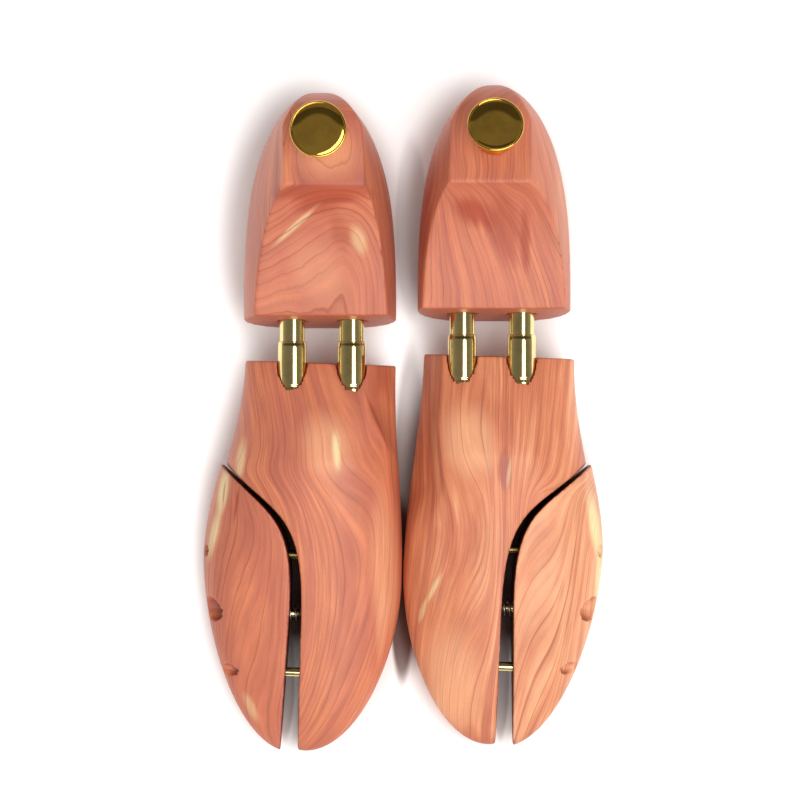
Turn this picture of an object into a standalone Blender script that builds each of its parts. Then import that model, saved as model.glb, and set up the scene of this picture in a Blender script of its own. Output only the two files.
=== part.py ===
"""A pair of split-toe cedar shoe stretchers with twin brass tubes and brass knobs.

Metres, +Z up. Toes point to -Y and heels to +Y. The pair stands on its soles.
In each tree, u runs from the tube mid-line to the outer side of the foot and
s runs from the rear face of the forepart to the toe.
"""
import math

import bmesh
import bpy
from mathutils import Matrix, Vector

# The two trees: +1 has its outer side towards +X
SIDES = {"left": 1, "right": -1}
PAIR_GAP = 0.0005
STAGGER = 0.0030
FOREPART_YAW = math.radians(2.0)
YAW_PIVOT = 0.040
CLEARANCE = 0.0003

# Forepart outline seen from above
FOREPART_LENGTH = 0.1690
REAR_LATERAL = 0.0348
REAR_MEDIAL = 0.0305
BALL_LATERAL = 0.0466
BALL_MEDIAL = 0.0363
BALL_LATERAL_AT = 0.083
BALL_MEDIAL_AT = 0.094
TOE_APEX = 0.0035
LATERAL_CURVE = (1.6, 1.8)
MEDIAL_CURVE = (1.8, 1.9)

# Forepart heights
REAR_TOP = 0.0295
INSTEP_TOP = 0.0455
INSTEP_AT = 0.042
TOE_TOP = 0.0185
TIP_LEVEL = 0.0085
TOE_ROUND = 0.028
EDGE_LEVEL = 0.0140
SOLE_ROUND = 0.013
SOLE_SHARE = 0.3
ARCH_RISE = 0.0030
ARCH_END = 0.070
TOE_SPRING = 0.0025
TOE_SPRING_FROM = 0.125
CREST_SHIFT = -0.004
REAR_SQUARENESS = 3.4
INSTEP_SQUARENESS = 2.15
SQUARE_UNTIL = 0.040
RAMP_CURVE = 1.35
FALL_CURVE = 1.35
TOE_CURVE = (2.4, 2.2)

# Facet on the inner side of the instep: its widths, the stations between which it goes
# from one width to the other, and the length in which it then fades
FACET_WIDTH = {"left": (0.0080, 0.0137), "right": (0.0118, 0.0)}
FACET_TURN = {"left": (0.0300, 0.0560), "right": (0.0185, 0.0410)}
FACET_FADE = 0.020

# Curved saw cut that frees the wing
KERF = 0.0005
CUT_ENTRY_AT = 0.0453
CUT_ENTRY_ANGLE = math.radians(48)
CUT_ENTRY_REACH = 0.031
CUT_STRAIGHT_AT = 0.1095
CUT_STRAIGHT_REACH = 0.0455
CUT_OFFSET = 0.0067

# Swing of the wing on its guide pins
WING_OPEN = math.radians(2.4)
SWING_U = 0.024
SWING_S = -0.001

# Guide pins, screw and spring between main piece and wing
PIN_RADIUS = 0.0020
PIN_HOLE_RADIUS = 0.0025
PIN_LEVEL = 0.0200
PIN_SPACING = 0.0254
SCREW_AT = 0.1085
PIN_DEPTH = 0.018
PIN_INSET = 0.006
SCREW_RADIUS = 0.00175
SCREW_DEPTH = 0.016
SCREW_HEAD_RADIUS = 0.0045
SCREW_HEAD_HEIGHT = 0.0026
SCREW_SLOT_WIDTH = 0.0010
SCREW_SLOT_DEPTH = 0.0011
SCREW_HEAD_EDGE = 0.0006
SCREW_TIP = 0.0030
SCREW_HOLE_RADIUS = 0.0024
COUNTERBORE_RADIUS = 0.0052
COUNTERBORE_FLOOR = 0.019
SPRING_POCKET_RADIUS = 0.0042
SPRING_POCKET_DEPTH = 0.0055
WING_SPRING_RADIUS = 0.0036
WING_SPRING_WIRE = 0.0009
WING_SPRING_CURLS = 6

# Telescoping tubes
TUBE_SPACING = 0.0254
TUBE_LEVEL = 0.0280
INNER_TUBE_RADIUS = 0.0055
INNER_TUBE_WALL = 0.0008
OUTER_TUBE_RADIUS = 0.00625
OUTER_TUBE_WALL = 0.00045
OUTER_TUBE_DEPTH = 0.0520
OUTER_TUBE_PROUD = 0.0090
MOUTH_TAPER = 0.0014
STOP_DEPTH = 0.0200
STOP_WIDTH = 0.0016
STOP_SLIP = 0.0001
TUBE_FLOOR = 0.0008
TUBE_FOOT_EDGE = 0.0005
LIP_LENGTH = 0.0015
LIP_FLARE = 0.0007
TUBE_SPRING_WIRE = 0.0010
TUBE_SPRING_CURLS = 12

# Heel block
OPEN_GAP = 0.0155
HEEL_LENGTH = 0.0998
HEEL_HALF_WIDTH = 0.0327
HEEL_OFFSET = 0.0007
HEEL_CURVE = (3.15, 1.9)
HEEL_WIDEST_LEVEL = {"left": 0.0380, "right": 0.0300}
HEEL_WALL_CURVE = {"left": 1.60, "right": 1.43}
HEEL_BASE_HALF = 0.0100
HEEL_BASE_SHARE = 0.35
PLATEAU_LEVEL = 0.0740
PLATEAU_HALF = 0.0166
PLATEAU_MOST = 0.78
PLATEAU_SHIFT = 0.0031
PLATEAU_TILT = {"left": math.radians(16), "right": math.radians(2.3)}
BACK_ROUND = 0.015
BACK_CURVE = (2.2, 2.2)
RIDGE_AT = {"left": 0.0434, "right": 0.0418}
SCOOP_FRONT_LEVEL = 0.0488
SCOOP_STEEPNESS = math.radians(57)
SCOOP_PULL = 0.78
SCOOP_PAST_FRONT = 0.001
FACE_LEAN = math.radians(5)
HEEL_BORE_DEPTH = 0.0420
HEEL_MOUTH_DEPTH = 0.0200

# Knob
KNOB_AT = {"left": 0.0250, "right": 0.0205}
KNOB_RADIUS = 0.0117
KNOB_RIM = 0.00055
KNOB_HEIGHT = 0.0165
KNOB_CAP = 0.0024
KNOB_NECK_RADIUS = 0.0058
KNOB_FOOT_RADIUS = 0.0077
KNOB_COVE = 4
KNOB_COVE_SPREAD = 1.5
KNOB_FOOT = 0.0016
KNOB_DISH = 0.0004
KNOB_FLAT_SHARE = 0.8
STUD_RADIUS = 0.0020
STUD_IN_KNOB = 0.0070
STUD_IN_HEEL = 0.0180

# Facets
TUBE_STEPS = 20
KNOB_STEPS = 24
SMALL_STEPS = 16
CURL_POINTS = 8
RIM_STEPS = 6
CREASE_LEAST = math.radians(30)

# How far a saw, drill or scoop runs past the wood that it cuts
OVERRUN = 0.020

# Worked out from the sizes above
TREE_OFFSET = BALL_MEDIAL + PAIR_GAP / 2
OUTER_TUBE_BORE = OUTER_TUBE_RADIUS - OUTER_TUBE_WALL
FOREPART_BORE = OUTER_TUBE_RADIUS + CLEARANCE
HEEL_BORE = INNER_TUBE_RADIUS + CLEARANCE
STOP_RADIUS = INNER_TUBE_RADIUS + STOP_SLIP
LIP_RADIUS = OUTER_TUBE_BORE - STOP_SLIP
WING_SPRING_MEAN = WING_SPRING_RADIUS - WING_SPRING_WIRE / 2

COLOURS = {
    "cedar": ((0.72, 0.38, 0.25, 1.0), 0.0, 0.50),
    "brass": ((0.80, 0.60, 0.25, 1.0), 1.0, 0.18),
    "spring_steel": ((0.62, 0.62, 0.60, 1.0), 1.0, 0.30),
}


def clear_scene():
    """Start from an empty file without closing it."""
    for old in list(bpy.data.objects):
        bpy.data.objects.remove(old, do_unlink=True)


def new_collection(name):
    """Add a collection to the scene."""
    made = bpy.data.collections.new(name)
    bpy.context.scene.collection.children.link(made)
    return made


def material(node, finish):
    """Give one sub-part its own Principled material."""
    colour, metallic, roughness = COLOURS[finish]
    made = bpy.data.materials.new(node + "_" + finish)
    made.use_nodes = True
    shader = made.node_tree.nodes["Principled BSDF"]
    shader.inputs["Base Color"].default_value = colour
    shader.inputs["Metallic"].default_value = metallic
    shader.inputs["Roughness"].default_value = roughness
    return made


def empty(name, parent, location=(0, 0, 0), turn=0.0, tilt=0.0):
    """Add an empty that carries pieces at a place and angle."""
    made = bpy.data.objects.new(name, None)
    PARTS.objects.link(made)
    made.parent = parent
    made.location = location
    made.rotation_euler = (tilt, 0, turn)
    return made


def add_mesh(name, mesh, parent, finish):
    """Add a piece of the object."""
    made = bpy.data.objects.new(name, mesh)
    PARTS.objects.link(made)
    made.parent = parent
    mesh.shade_smooth()
    mesh.set_sharp_from_angle(angle=math.radians(35))
    mesh.materials.append(material(name, finish))
    return made


def add_cutter(name, mesh, parent, matrix=None):
    """Add a shape that only cuts others."""
    made = bpy.data.objects.new(name, mesh)
    CUTTERS.objects.link(made)
    made.parent = parent
    if matrix is not None:
        made.matrix_local = matrix
    made.hide_render = True
    made.display_type = "WIRE"
    return made


def cut(piece, cutter, operation="DIFFERENCE"):
    """Cut a piece with a cutter."""
    step = piece.modifiers.new(cutter.name, "BOOLEAN")
    step.operation = operation
    step.solver = "EXACT"
    step.object = cutter


def rod_mesh(name, radius, length, steps):
    """Cylinder from the origin along +Z."""
    made = bmesh.new()
    bmesh.ops.create_cone(made, cap_ends=True, segments=steps, radius1=radius,
                          radius2=radius, depth=length)
    bmesh.ops.translate(made, verts=made.verts, vec=(0, 0, length / 2))
    mesh = bpy.data.meshes.new(name)
    made.to_mesh(mesh)
    made.free()
    return mesh


def prism_mesh(name, outline, half_depth):
    """Flat outline in XY, extruded both ways along Z, as a closed mesh."""
    flat = bpy.data.curves.new(name, "CURVE")
    flat.dimensions = "2D"
    flat.fill_mode = "BOTH"
    flat.extrude = half_depth
    line = flat.splines.new("POLY")
    line.points.add(len(outline) - 1)
    for point, (x, y) in zip(line.points, outline):
        point.co = (x, y, 0, 1)
    line.use_cyclic_u = True
    holder = bpy.data.objects.new(name, flat)
    CUTTERS.objects.link(holder)
    graph = bpy.context.evaluated_depsgraph_get()
    mesh = bpy.data.meshes.new_from_object(holder.evaluated_get(graph))
    bpy.data.objects.remove(holder)
    made = bmesh.new()
    made.from_mesh(mesh)
    bmesh.ops.remove_doubles(made, verts=made.verts, dist=1e-6)
    bmesh.ops.recalc_face_normals(made, faces=made.faces)
    made.to_mesh(mesh)
    made.free()
    return mesh


def turned(name, profile, parent, finish, steps):
    """Turn a profile of (radius, height) points about Z; it runs down its outer side."""
    mesh = bpy.data.meshes.new(name)
    edges = [(i, i + 1) for i in range(len(profile) - 1)]
    mesh.from_pydata([(r, 0, z) for r, z in profile], edges, [])
    piece = bpy.data.objects.new(name, mesh)
    PARTS.objects.link(piece)
    piece.parent = parent
    mesh.materials.append(material(name, finish))
    lathe = piece.modifiers.new("lathe", "SCREW")
    lathe.axis = "Z"
    lathe.steps = steps
    lathe.render_steps = steps
    lathe.use_merge_vertices = True
    lathe.merge_threshold = 1e-6
    lathe.use_smooth_shade = True
    return piece


def loft_mesh(name, rings):
    """Skin a row of rings with the same number of points, and cap both ends."""
    made = bmesh.new()
    rows = [[made.verts.new(point) for point in ring] for ring in rings]
    count = len(rows[0])
    for near, far in zip(rows, rows[1:]):
        for i in range(count):
            j = (i + 1) % count
            made.faces.new((near[i], near[j], far[j], far[i]))
    made.faces.new(rows[0])
    made.faces.new(rows[-1])
    bmesh.ops.recalc_face_normals(made, faces=made.faces)
    mesh = bpy.data.meshes.new(name)
    made.to_mesh(mesh)
    made.free()
    return mesh


def helix(radius, wire, length, curls):
    """Points of a compression spring along +Z, from wire centre to wire centre."""
    steps = curls * CURL_POINTS
    rise = (length - wire) / steps
    points = []
    for i in range(steps + 1):
        angle = 2 * math.pi * i / CURL_POINTS
        height = wire / 2 + rise * i
        points.append(Vector((radius * math.cos(angle), radius * math.sin(angle), height)))
    return points


def least_gap(points, wire):
    """Least gap between the wire and itself, past the neighbouring half curl."""
    near = CURL_POINTS // 2
    gaps = [
        (a - b).length
        for i, a in enumerate(points)
        for b in points[i + near:]
    ]
    return min(gaps) - wire


def spring(name, parent, radius, wire, length, curls, matrix):
    """One coil spring as an unbroken round wire."""
    points = helix(radius, wire, length, curls)
    print(name, "least gap in mm:", round(least_gap(points, wire) * 1000, 2))
    coil = bpy.data.curves.new(name, "CURVE")
    coil.dimensions = "3D"
    coil.bevel_depth = wire / 2
    coil.bevel_resolution = 1
    coil.use_fill_caps = True
    line = coil.splines.new("POLY")
    line.points.add(len(points) - 1)
    for place, point in zip(line.points, points):
        place.co = (*point, 1)
    coil.materials.append(material(name, "spring_steel"))
    piece = bpy.data.objects.new(name, coil)
    PARTS.objects.link(piece)
    piece.parent = parent
    piece.matrix_local = matrix
    return piece


def ease(start, end, share):
    """Smooth step from start to end."""
    return start + (end - start) * (1 - math.cos(math.pi * share)) / 2


def rounded(share, curve):
    """Fall from 1 to 0 along a superellipse as share goes from 0 to 1."""
    along, across_curve = curve
    return max(0.0, 1 - max(0.0, share) ** along) ** (1 / across_curve)


def lateral_edge(s):
    """Distance of the forepart's outer edge from the tube mid-line, wing closed."""
    if s < BALL_LATERAL_AT:
        return ease(REAR_LATERAL, BALL_LATERAL, s / BALL_LATERAL_AT)
    share = (s - BALL_LATERAL_AT) / (FOREPART_LENGTH - BALL_LATERAL_AT)
    return TOE_APEX + (BALL_LATERAL - TOE_APEX) * rounded(share, LATERAL_CURVE)


def medial_edge(s):
    """Distance of the forepart's inner edge from the tube mid-line."""
    if s < BALL_MEDIAL_AT:
        return ease(REAR_MEDIAL, BALL_MEDIAL, s / BALL_MEDIAL_AT)
    share = (s - BALL_MEDIAL_AT) / (FOREPART_LENGTH - BALL_MEDIAL_AT)
    return -TOE_APEX + (BALL_MEDIAL + TOE_APEX) * rounded(share, MEDIAL_CURVE)


def toe_closing(s):
    """Share of the height that is left as the toe rounds off."""
    start = FOREPART_LENGTH - TOE_ROUND
    if s < start:
        return 1.0
    return rounded((s - start) / TOE_ROUND, TOE_CURVE)


def top_level(s):
    """Height of the crest: a ramp from the rear face, the instep and the long fall."""
    if s < INSTEP_AT:
        return INSTEP_TOP - (INSTEP_TOP - REAR_TOP) * (1 - s / INSTEP_AT) ** RAMP_CURVE
    share = (s - INSTEP_AT) / (FOREPART_LENGTH - INSTEP_AT)
    level = INSTEP_TOP - (INSTEP_TOP - TOE_TOP) * share ** FALL_CURVE
    return TIP_LEVEL + (level - TIP_LEVEL) * toe_closing(s)


def sole_level(s):
    """Height of the sole: raised at the arch, flat at the ball, sprung at the toe."""
    if s < ARCH_END:
        return ARCH_RISE * (1 - s / ARCH_END) ** 2
    if s < TOE_SPRING_FROM:
        return 0.0
    share = (s - TOE_SPRING_FROM) / (FOREPART_LENGTH - TOE_SPRING_FROM)
    level = TOE_SPRING * share ** 2
    return TIP_LEVEL + (level - TIP_LEVEL) * toe_closing(s)


def edge_level(s):
    """Height at which the forepart is widest."""
    return TIP_LEVEL + (EDGE_LEVEL - TIP_LEVEL) * toe_closing(s)


def squareness(s):
    """How square the upper section is: high at the rear face, rounder at the instep."""
    if s > SQUARE_UNTIL:
        return INSTEP_SQUARENESS
    return ease(REAR_SQUARENESS, INSTEP_SQUARENESS, s / SQUARE_UNTIL)


def power(value, exponent):
    """Power that keeps the sign."""
    return math.copysign(abs(value) ** exponent, value)


def facet(side_name, s):
    """Width of the flat facet on the inner side of the instep, and how flat it is."""
    rear, front = FACET_TURN[side_name]
    rear_width, front_width = FACET_WIDTH[side_name]
    share = min(1.0, max(0.0, (s - rear) / (front - rear)))
    fade = min(1.0, max(0.0, (s - front) / FACET_FADE))
    return rear_width + (front_width - rear_width) * share, ease(1.0, 0.0, fade)


def upper_angles(crease, outer=9, crown=5, side=4):
    """Angles over the top of a section, with one of them on the facet's crease."""
    angles = [math.pi / 2 * i / outer for i in range(outer)]
    turn = math.pi / 2 - crease
    angles += [math.pi / 2 + turn * i / crown for i in range(crown)]
    return angles + [math.pi - crease * (1 - i / side) for i in range(side + 1)]


def forepart_section(side_name, s, corner=3, bottom=4):
    """Closed section of the forepart as (u, z) points, from the outer edge over the top."""
    outer = lateral_edge(s)
    inner = -medial_edge(s)
    top = top_level(s)
    sole = sole_level(s)
    edge = edge_level(s)
    crest = (outer + inner) / 2 + CREST_SHIFT * toe_closing(s)
    roundness = 2 / squareness(s)
    width, flatness = facet(side_name, s)
    cosine = max(0.0, 1 - width / (crest - inner)) ** (1 / roundness)
    shoulder = (top - edge) * (1 - cosine ** 2) ** (roundness / 2)
    points = []
    for angle in upper_angles(max(CREASE_LEAST, math.acos(cosine))):
        reach = outer - crest if angle < math.pi / 2 else crest - inner
        u = crest + reach * power(math.cos(angle), roundness)
        rise = (top - edge) * power(math.sin(angle), roundness)
        if 0 < u - inner < width:
            rise += flatness * (shoulder * (u - inner) / width - rise)
        points.append((u, edge + rise))
    corner_width = min(SOLE_ROUND, SOLE_SHARE * (outer - inner))
    for i in range(1, corner + 1):
        angle = math.pi / 2 * i / corner
        u = inner + corner_width * (1 - math.cos(angle))
        z = edge - (edge - sole) * math.sin(angle)
        points.append((u, z))
    left = inner + corner_width
    right = outer - corner_width
    for i in range(1, bottom):
        points.append((left + (right - left) * i / bottom, sole))
    for i in range(corner):
        angle = math.pi / 2 * (1 - i / corner)
        u = outer - corner_width * (1 - math.cos(angle))
        z = edge - (edge - sole) * math.sin(angle)
        points.append((u, z))
    return points


def forepart_stations():
    """Stations along s, closer together where the toe rounds off."""
    toe_start = FOREPART_LENGTH - TOE_ROUND
    steps = 22
    body = [toe_start * i / steps for i in range(steps)]
    last = math.radians(86)
    toe = [toe_start + TOE_ROUND * math.sin(last * i / 9) for i in range(10)]
    return body + toe


def forepart_rings(side_name):
    """Rings of the whole forepart in the frame of its yaw pivot."""
    side = SIDES[side_name]
    rings = []
    for s in forepart_stations():
        section = forepart_section(side_name, s)
        rings.append([(side * u, YAW_PIVOT - s, z) for u, z in section])
    return rings


def cut_line(offset):
    """Saw cut as (u, s) points from outside the outer edge to beyond the toe."""
    start = Vector((lateral_edge(CUT_ENTRY_AT), CUT_ENTRY_AT))
    heading = Vector((-math.sin(CUT_ENTRY_ANGLE), math.cos(CUT_ENTRY_ANGLE)))
    end = Vector((CUT_OFFSET, CUT_STRAIGHT_AT))
    first = start + heading * CUT_ENTRY_REACH
    second = end - Vector((0, CUT_STRAIGHT_REACH))
    centre = [start - heading * OVERRUN]
    steps = 14
    for i in range(steps + 1):
        t = i / steps
        centre.append(start * (1 - t) ** 3 + first * 3 * t * (1 - t) ** 2
                      + second * 3 * t ** 2 * (1 - t) + end * t ** 3)
    centre.append(Vector((CUT_OFFSET, FOREPART_LENGTH + OVERRUN)))
    moved = []
    for i, point in enumerate(centre):
        before = centre[max(i - 1, 0)]
        after = centre[min(i + 1, len(centre) - 1)]
        along = (after - before).normalized()
        moved.append(point + Vector((along.y, -along.x)) * offset)
    return moved


def cut_u(s):
    """Place of the saw cut's mid-line at a station behind the straight stretch."""
    line = cut_line(0)
    for before, after in zip(line, line[1:]):
        if before.y <= s <= after.y:
            share = (s - before.y) / (after.y - before.y)
            return before.x + (after.x - before.x) * share
    return CUT_OFFSET


def wing_region(side, offset, origin_u, origin_s):
    """Outline in XY of everything on the wing's side of the saw cut."""
    line = cut_line(offset)
    beyond = BALL_LATERAL + 2 * OVERRUN
    corners = [Vector((beyond, line[-1].y)), Vector((beyond, line[0].y))]
    return [(side * (p.x - origin_u), origin_s - p.y) for p in line + corners]


def across(side, u, y, level):
    """Matrix that lays a +Z shape along the outer direction, starting at u."""
    lay = Matrix.Rotation(side * math.pi / 2, 4, "Y")
    return Matrix.Translation((side * u, y, level)) @ lay


def closed_outer_u(s):
    """Outer surface of the closed wing at the pins' level."""
    crest = (lateral_edge(s) - medial_edge(s)) / 2 + CREST_SHIFT * toe_closing(s)
    height = (PIN_LEVEL - edge_level(s)) / (top_level(s) - edge_level(s))
    exponent = squareness(s)
    return crest + (lateral_edge(s) - crest) * (1 - height ** exponent) ** (1 / exponent)


def guide_places():
    """Names and stations of the two guide pins."""
    return {"rear": SCREW_AT - PIN_SPACING, "front": SCREW_AT + PIN_SPACING}


def make_main(name, side_name, frame):
    """Main piece of the forepart, with its tube bores, pin holes and spring pocket."""
    side = SIDES[side_name]
    main = add_mesh(name, loft_mesh(name, forepart_rings(side_name)), frame, "cedar")
    region = wing_region(side, -KERF / 2, 0, YAW_PIVOT)
    saw = prism_mesh(name + "_saw", region, INSTEP_TOP + OVERRUN)
    cut(main, add_cutter(name + "_saw", saw, frame))
    for place, s in guide_places().items():
        start = cut_u(s) - PIN_DEPTH - CLEARANCE
        hole = rod_mesh(name + place, PIN_RADIUS + CLEARANCE, PIN_DEPTH + OVERRUN, SMALL_STEPS)
        cut(main, add_cutter(name + "_" + place, hole, frame,
                             across(side, start, YAW_PIVOT - s, PIN_LEVEL)))
    y = YAW_PIVOT - SCREW_AT
    hole = rod_mesh(name + "_screw", SCREW_RADIUS + CLEARANCE, SCREW_DEPTH + OVERRUN,
                    SMALL_STEPS)
    start = cut_u(SCREW_AT) - SCREW_DEPTH - CLEARANCE
    cut(main, add_cutter(name + "_screw", hole, frame, across(side, start, y, PIN_LEVEL)))
    pocket = rod_mesh(name + "_pocket", SPRING_POCKET_RADIUS, SPRING_POCKET_DEPTH + OVERRUN,
                      SMALL_STEPS)
    start = cut_u(SCREW_AT) - SPRING_POCKET_DEPTH
    cut(main, add_cutter(name + "_pocket", pocket, frame, across(side, start, y, PIN_LEVEL)))
    return main


def bore_forepart(name, main, tree):
    """Drill the two tube bores into the forepart's rear face."""
    for number, x in enumerate((-TUBE_SPACING / 2, TUBE_SPACING / 2), 1):
        reach = OUTER_TUBE_DEPTH + CLEARANCE
        bore = rod_mesh(name + "_bore", FOREPART_BORE, reach + OVERRUN, TUBE_STEPS)
        lay = Matrix.Translation((x, -reach, TUBE_LEVEL)) @ Matrix.Rotation(-math.pi / 2, 4, "X")
        cut(main, add_cutter(name + "_bore_%d" % number, bore, tree, lay))


def make_wing(name, side_name, swing):
    """Split-off outer piece of the forepart, drilled at half swing for its pins."""
    side = SIDES[side_name]
    rings = [
        [(x - side * SWING_U, y - YAW_PIVOT + SWING_S, z) for x, y, z in ring]
        for ring in forepart_rings(side_name)
    ]
    wing = add_mesh(name, loft_mesh(name, rings), swing, "cedar")
    region = wing_region(side, KERF / 2, SWING_U, SWING_S)
    saw = prism_mesh(name + "_saw", region, INSTEP_TOP + OVERRUN)
    cut(wing, add_cutter(name + "_saw", saw, swing), "INTERSECT")
    through = BALL_LATERAL + OVERRUN
    half = empty(name + "_half_swing", swing, turn=-side * WING_OPEN / 2)
    for place, s in guide_places().items():
        hole = rod_mesh(name + place, PIN_HOLE_RADIUS, through, SMALL_STEPS)
        cut(wing, add_cutter(name + "_" + place, hole, half,
                             across(side, -SWING_U, SWING_S - s, PIN_LEVEL)))
    y = SWING_S - SCREW_AT
    hole = rod_mesh(name + "_screw", SCREW_HOLE_RADIUS, through, SMALL_STEPS)
    cut(wing, add_cutter(name + "_screw", hole, half, across(side, -SWING_U, y, PIN_LEVEL)))
    bore = rod_mesh(name + "_bore", COUNTERBORE_RADIUS, through, SMALL_STEPS)
    cut(wing, add_cutter(name + "_bore", bore, swing,
                         across(side, COUNTERBORE_FLOOR - SWING_U, y, PIN_LEVEL)))
    pocket = rod_mesh(name + "_pocket", SPRING_POCKET_RADIUS, OVERRUN, SMALL_STEPS)
    start = cut_u(SCREW_AT) + SPRING_POCKET_DEPTH - OVERRUN - SWING_U
    cut(wing, add_cutter(name + "_pocket", pocket, swing, across(side, start, y, PIN_LEVEL)))
    return wing


def make_guides(prefix, side, frame):
    """Guide pins, retaining screw and spring, all carried by the main piece."""
    for place, s in guide_places().items():
        name = prefix + "_guide_pin_" + place
        start = cut_u(s) - PIN_DEPTH
        length = closed_outer_u(s) - PIN_INSET - start
        pin = add_mesh(name, rod_mesh(name, PIN_RADIUS, length, SMALL_STEPS), frame, "brass")
        pin.matrix_local = across(side, start, YAW_PIVOT - s, PIN_LEVEL)
    opening = WING_OPEN * (SCREW_AT - SWING_S)
    seat = COUNTERBORE_FLOOR + opening + CLEARANCE
    make_screw(prefix + "_wing_screw", side, frame, seat)
    start = cut_u(SCREW_AT) - SPRING_POCKET_DEPTH + CLEARANCE
    end = cut_u(SCREW_AT) + SPRING_POCKET_DEPTH + opening - CLEARANCE
    spring(prefix + "_wing_spring", frame, WING_SPRING_MEAN, WING_SPRING_WIRE, end - start,
           WING_SPRING_CURLS, across(side, start, YAW_PIVOT - SCREW_AT, PIN_LEVEL))


def make_screw(name, side, frame, seat):
    """Slotted screw that holds the wing against its spring."""
    start = cut_u(SCREW_AT) - SCREW_DEPTH
    length = seat - start
    top = length + SCREW_HEAD_HEIGHT
    profile = [
        (0, top),
        (SCREW_HEAD_RADIUS - SCREW_HEAD_EDGE, top),
        (SCREW_HEAD_RADIUS, top - SCREW_HEAD_EDGE),
        (SCREW_HEAD_RADIUS, length),
        (SCREW_RADIUS, length),
        (SCREW_RADIUS, SCREW_TIP),
        (0, 0),
    ]
    screw = turned(name, profile, frame, "brass", SMALL_STEPS)
    place = across(side, start, YAW_PIVOT - SCREW_AT, PIN_LEVEL)
    screw.matrix_local = place
    made = bmesh.new()
    bmesh.ops.create_cube(made, size=1)
    size = (SCREW_SLOT_WIDTH, 3 * SCREW_HEAD_RADIUS, 2 * SCREW_SLOT_DEPTH)
    bmesh.ops.scale(made, vec=size, verts=made.verts)
    mesh = bpy.data.meshes.new(name + "_slot")
    made.to_mesh(mesh)
    made.free()
    crown = place @ Matrix.Translation((0, 0, top))
    cut(screw, add_cutter(name + "_slot", mesh, frame, crown))


def outer_tube_profile():
    """Outer tube from its mouth to its closed floor, with the rolled stop inside."""
    length = OUTER_TUBE_PROUD + OUTER_TUBE_DEPTH
    stop = length - STOP_DEPTH
    squeeze = OUTER_TUBE_BORE - STOP_RADIUS
    mouth = INNER_TUBE_RADIUS + STOP_SLIP
    return [
        (mouth, length),
        (mouth + OUTER_TUBE_WALL, length),
        (OUTER_TUBE_RADIUS, length - MOUTH_TAPER),
        (OUTER_TUBE_RADIUS, stop + STOP_WIDTH),
        (OUTER_TUBE_RADIUS - squeeze, stop + STOP_WIDTH / 2),
        (OUTER_TUBE_RADIUS, stop),
        (OUTER_TUBE_RADIUS, TUBE_FOOT_EDGE),
        (OUTER_TUBE_RADIUS - TUBE_FOOT_EDGE, 0),
        (0, 0),
        (0, TUBE_FLOOR),
        (OUTER_TUBE_BORE, TUBE_FLOOR),
        (OUTER_TUBE_BORE, stop),
        (STOP_RADIUS, stop + STOP_WIDTH / 2),
        (OUTER_TUBE_BORE, stop + STOP_WIDTH),
        (OUTER_TUBE_BORE, length - MOUTH_TAPER),
        (mouth, length),
    ]


def inner_tube_profile(length):
    """Inner tube from its heel end to its rolled lip at z = 0."""
    bore = INNER_TUBE_RADIUS - INNER_TUBE_WALL
    return [
        (bore, length),
        (INNER_TUBE_RADIUS, length),
        (INNER_TUBE_RADIUS, LIP_LENGTH + LIP_FLARE),
        (LIP_RADIUS, LIP_LENGTH),
        (LIP_RADIUS, 0),
        (bore, 0),
        (bore, length),
    ]


def make_tubes(prefix, tree, heel):
    """Both telescopes: outer tube, spring and inner tube."""
    lay = Matrix.Rotation(-math.pi / 2, 4, "X")
    floor_y = -OUTER_TUBE_DEPTH
    lip_y = OUTER_TUBE_PROUD - STOP_DEPTH - STOP_WIDTH - CLEARANCE
    heel_end = OPEN_GAP + HEEL_BORE_DEPTH - CLEARANCE
    for number, x in enumerate((-TUBE_SPACING / 2, TUBE_SPACING / 2), 1):
        outer = turned("%s_outer_tube_%d" % (prefix, number), outer_tube_profile(), tree,
                       "brass", TUBE_STEPS)
        outer.matrix_local = Matrix.Translation((x, floor_y, TUBE_LEVEL)) @ lay
        inner = turned("%s_inner_tube_%d" % (prefix, number),
                       inner_tube_profile(heel_end - lip_y), heel, "brass", TUBE_STEPS)
        inner.matrix_local = Matrix.Translation((x, lip_y - OPEN_GAP, 0)) @ lay
        start = floor_y + TUBE_FLOOR + CLEARANCE
        length = lip_y - CLEARANCE - start
        mean = OUTER_TUBE_BORE - CLEARANCE - TUBE_SPRING_WIRE / 2
        spring("%s_tube_spring_%d" % (prefix, number), tree, mean, TUBE_SPRING_WIRE, length,
               TUBE_SPRING_CURLS, Matrix.Translation((x, start, TUBE_LEVEL)) @ lay)


def heel_half_width(d):
    """Half width of the heel block at a distance from its back."""
    return HEEL_HALF_WIDTH * rounded(1 - d / HEEL_LENGTH, HEEL_CURVE)


def plateau_level(side_name, d):
    """Height of the top behind the ridge, tilted back from the ridge."""
    fall = max(0.0, RIDGE_AT[side_name] - d) * math.tan(PLATEAU_TILT[side_name])
    return PLATEAU_LEVEL - fall


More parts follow.
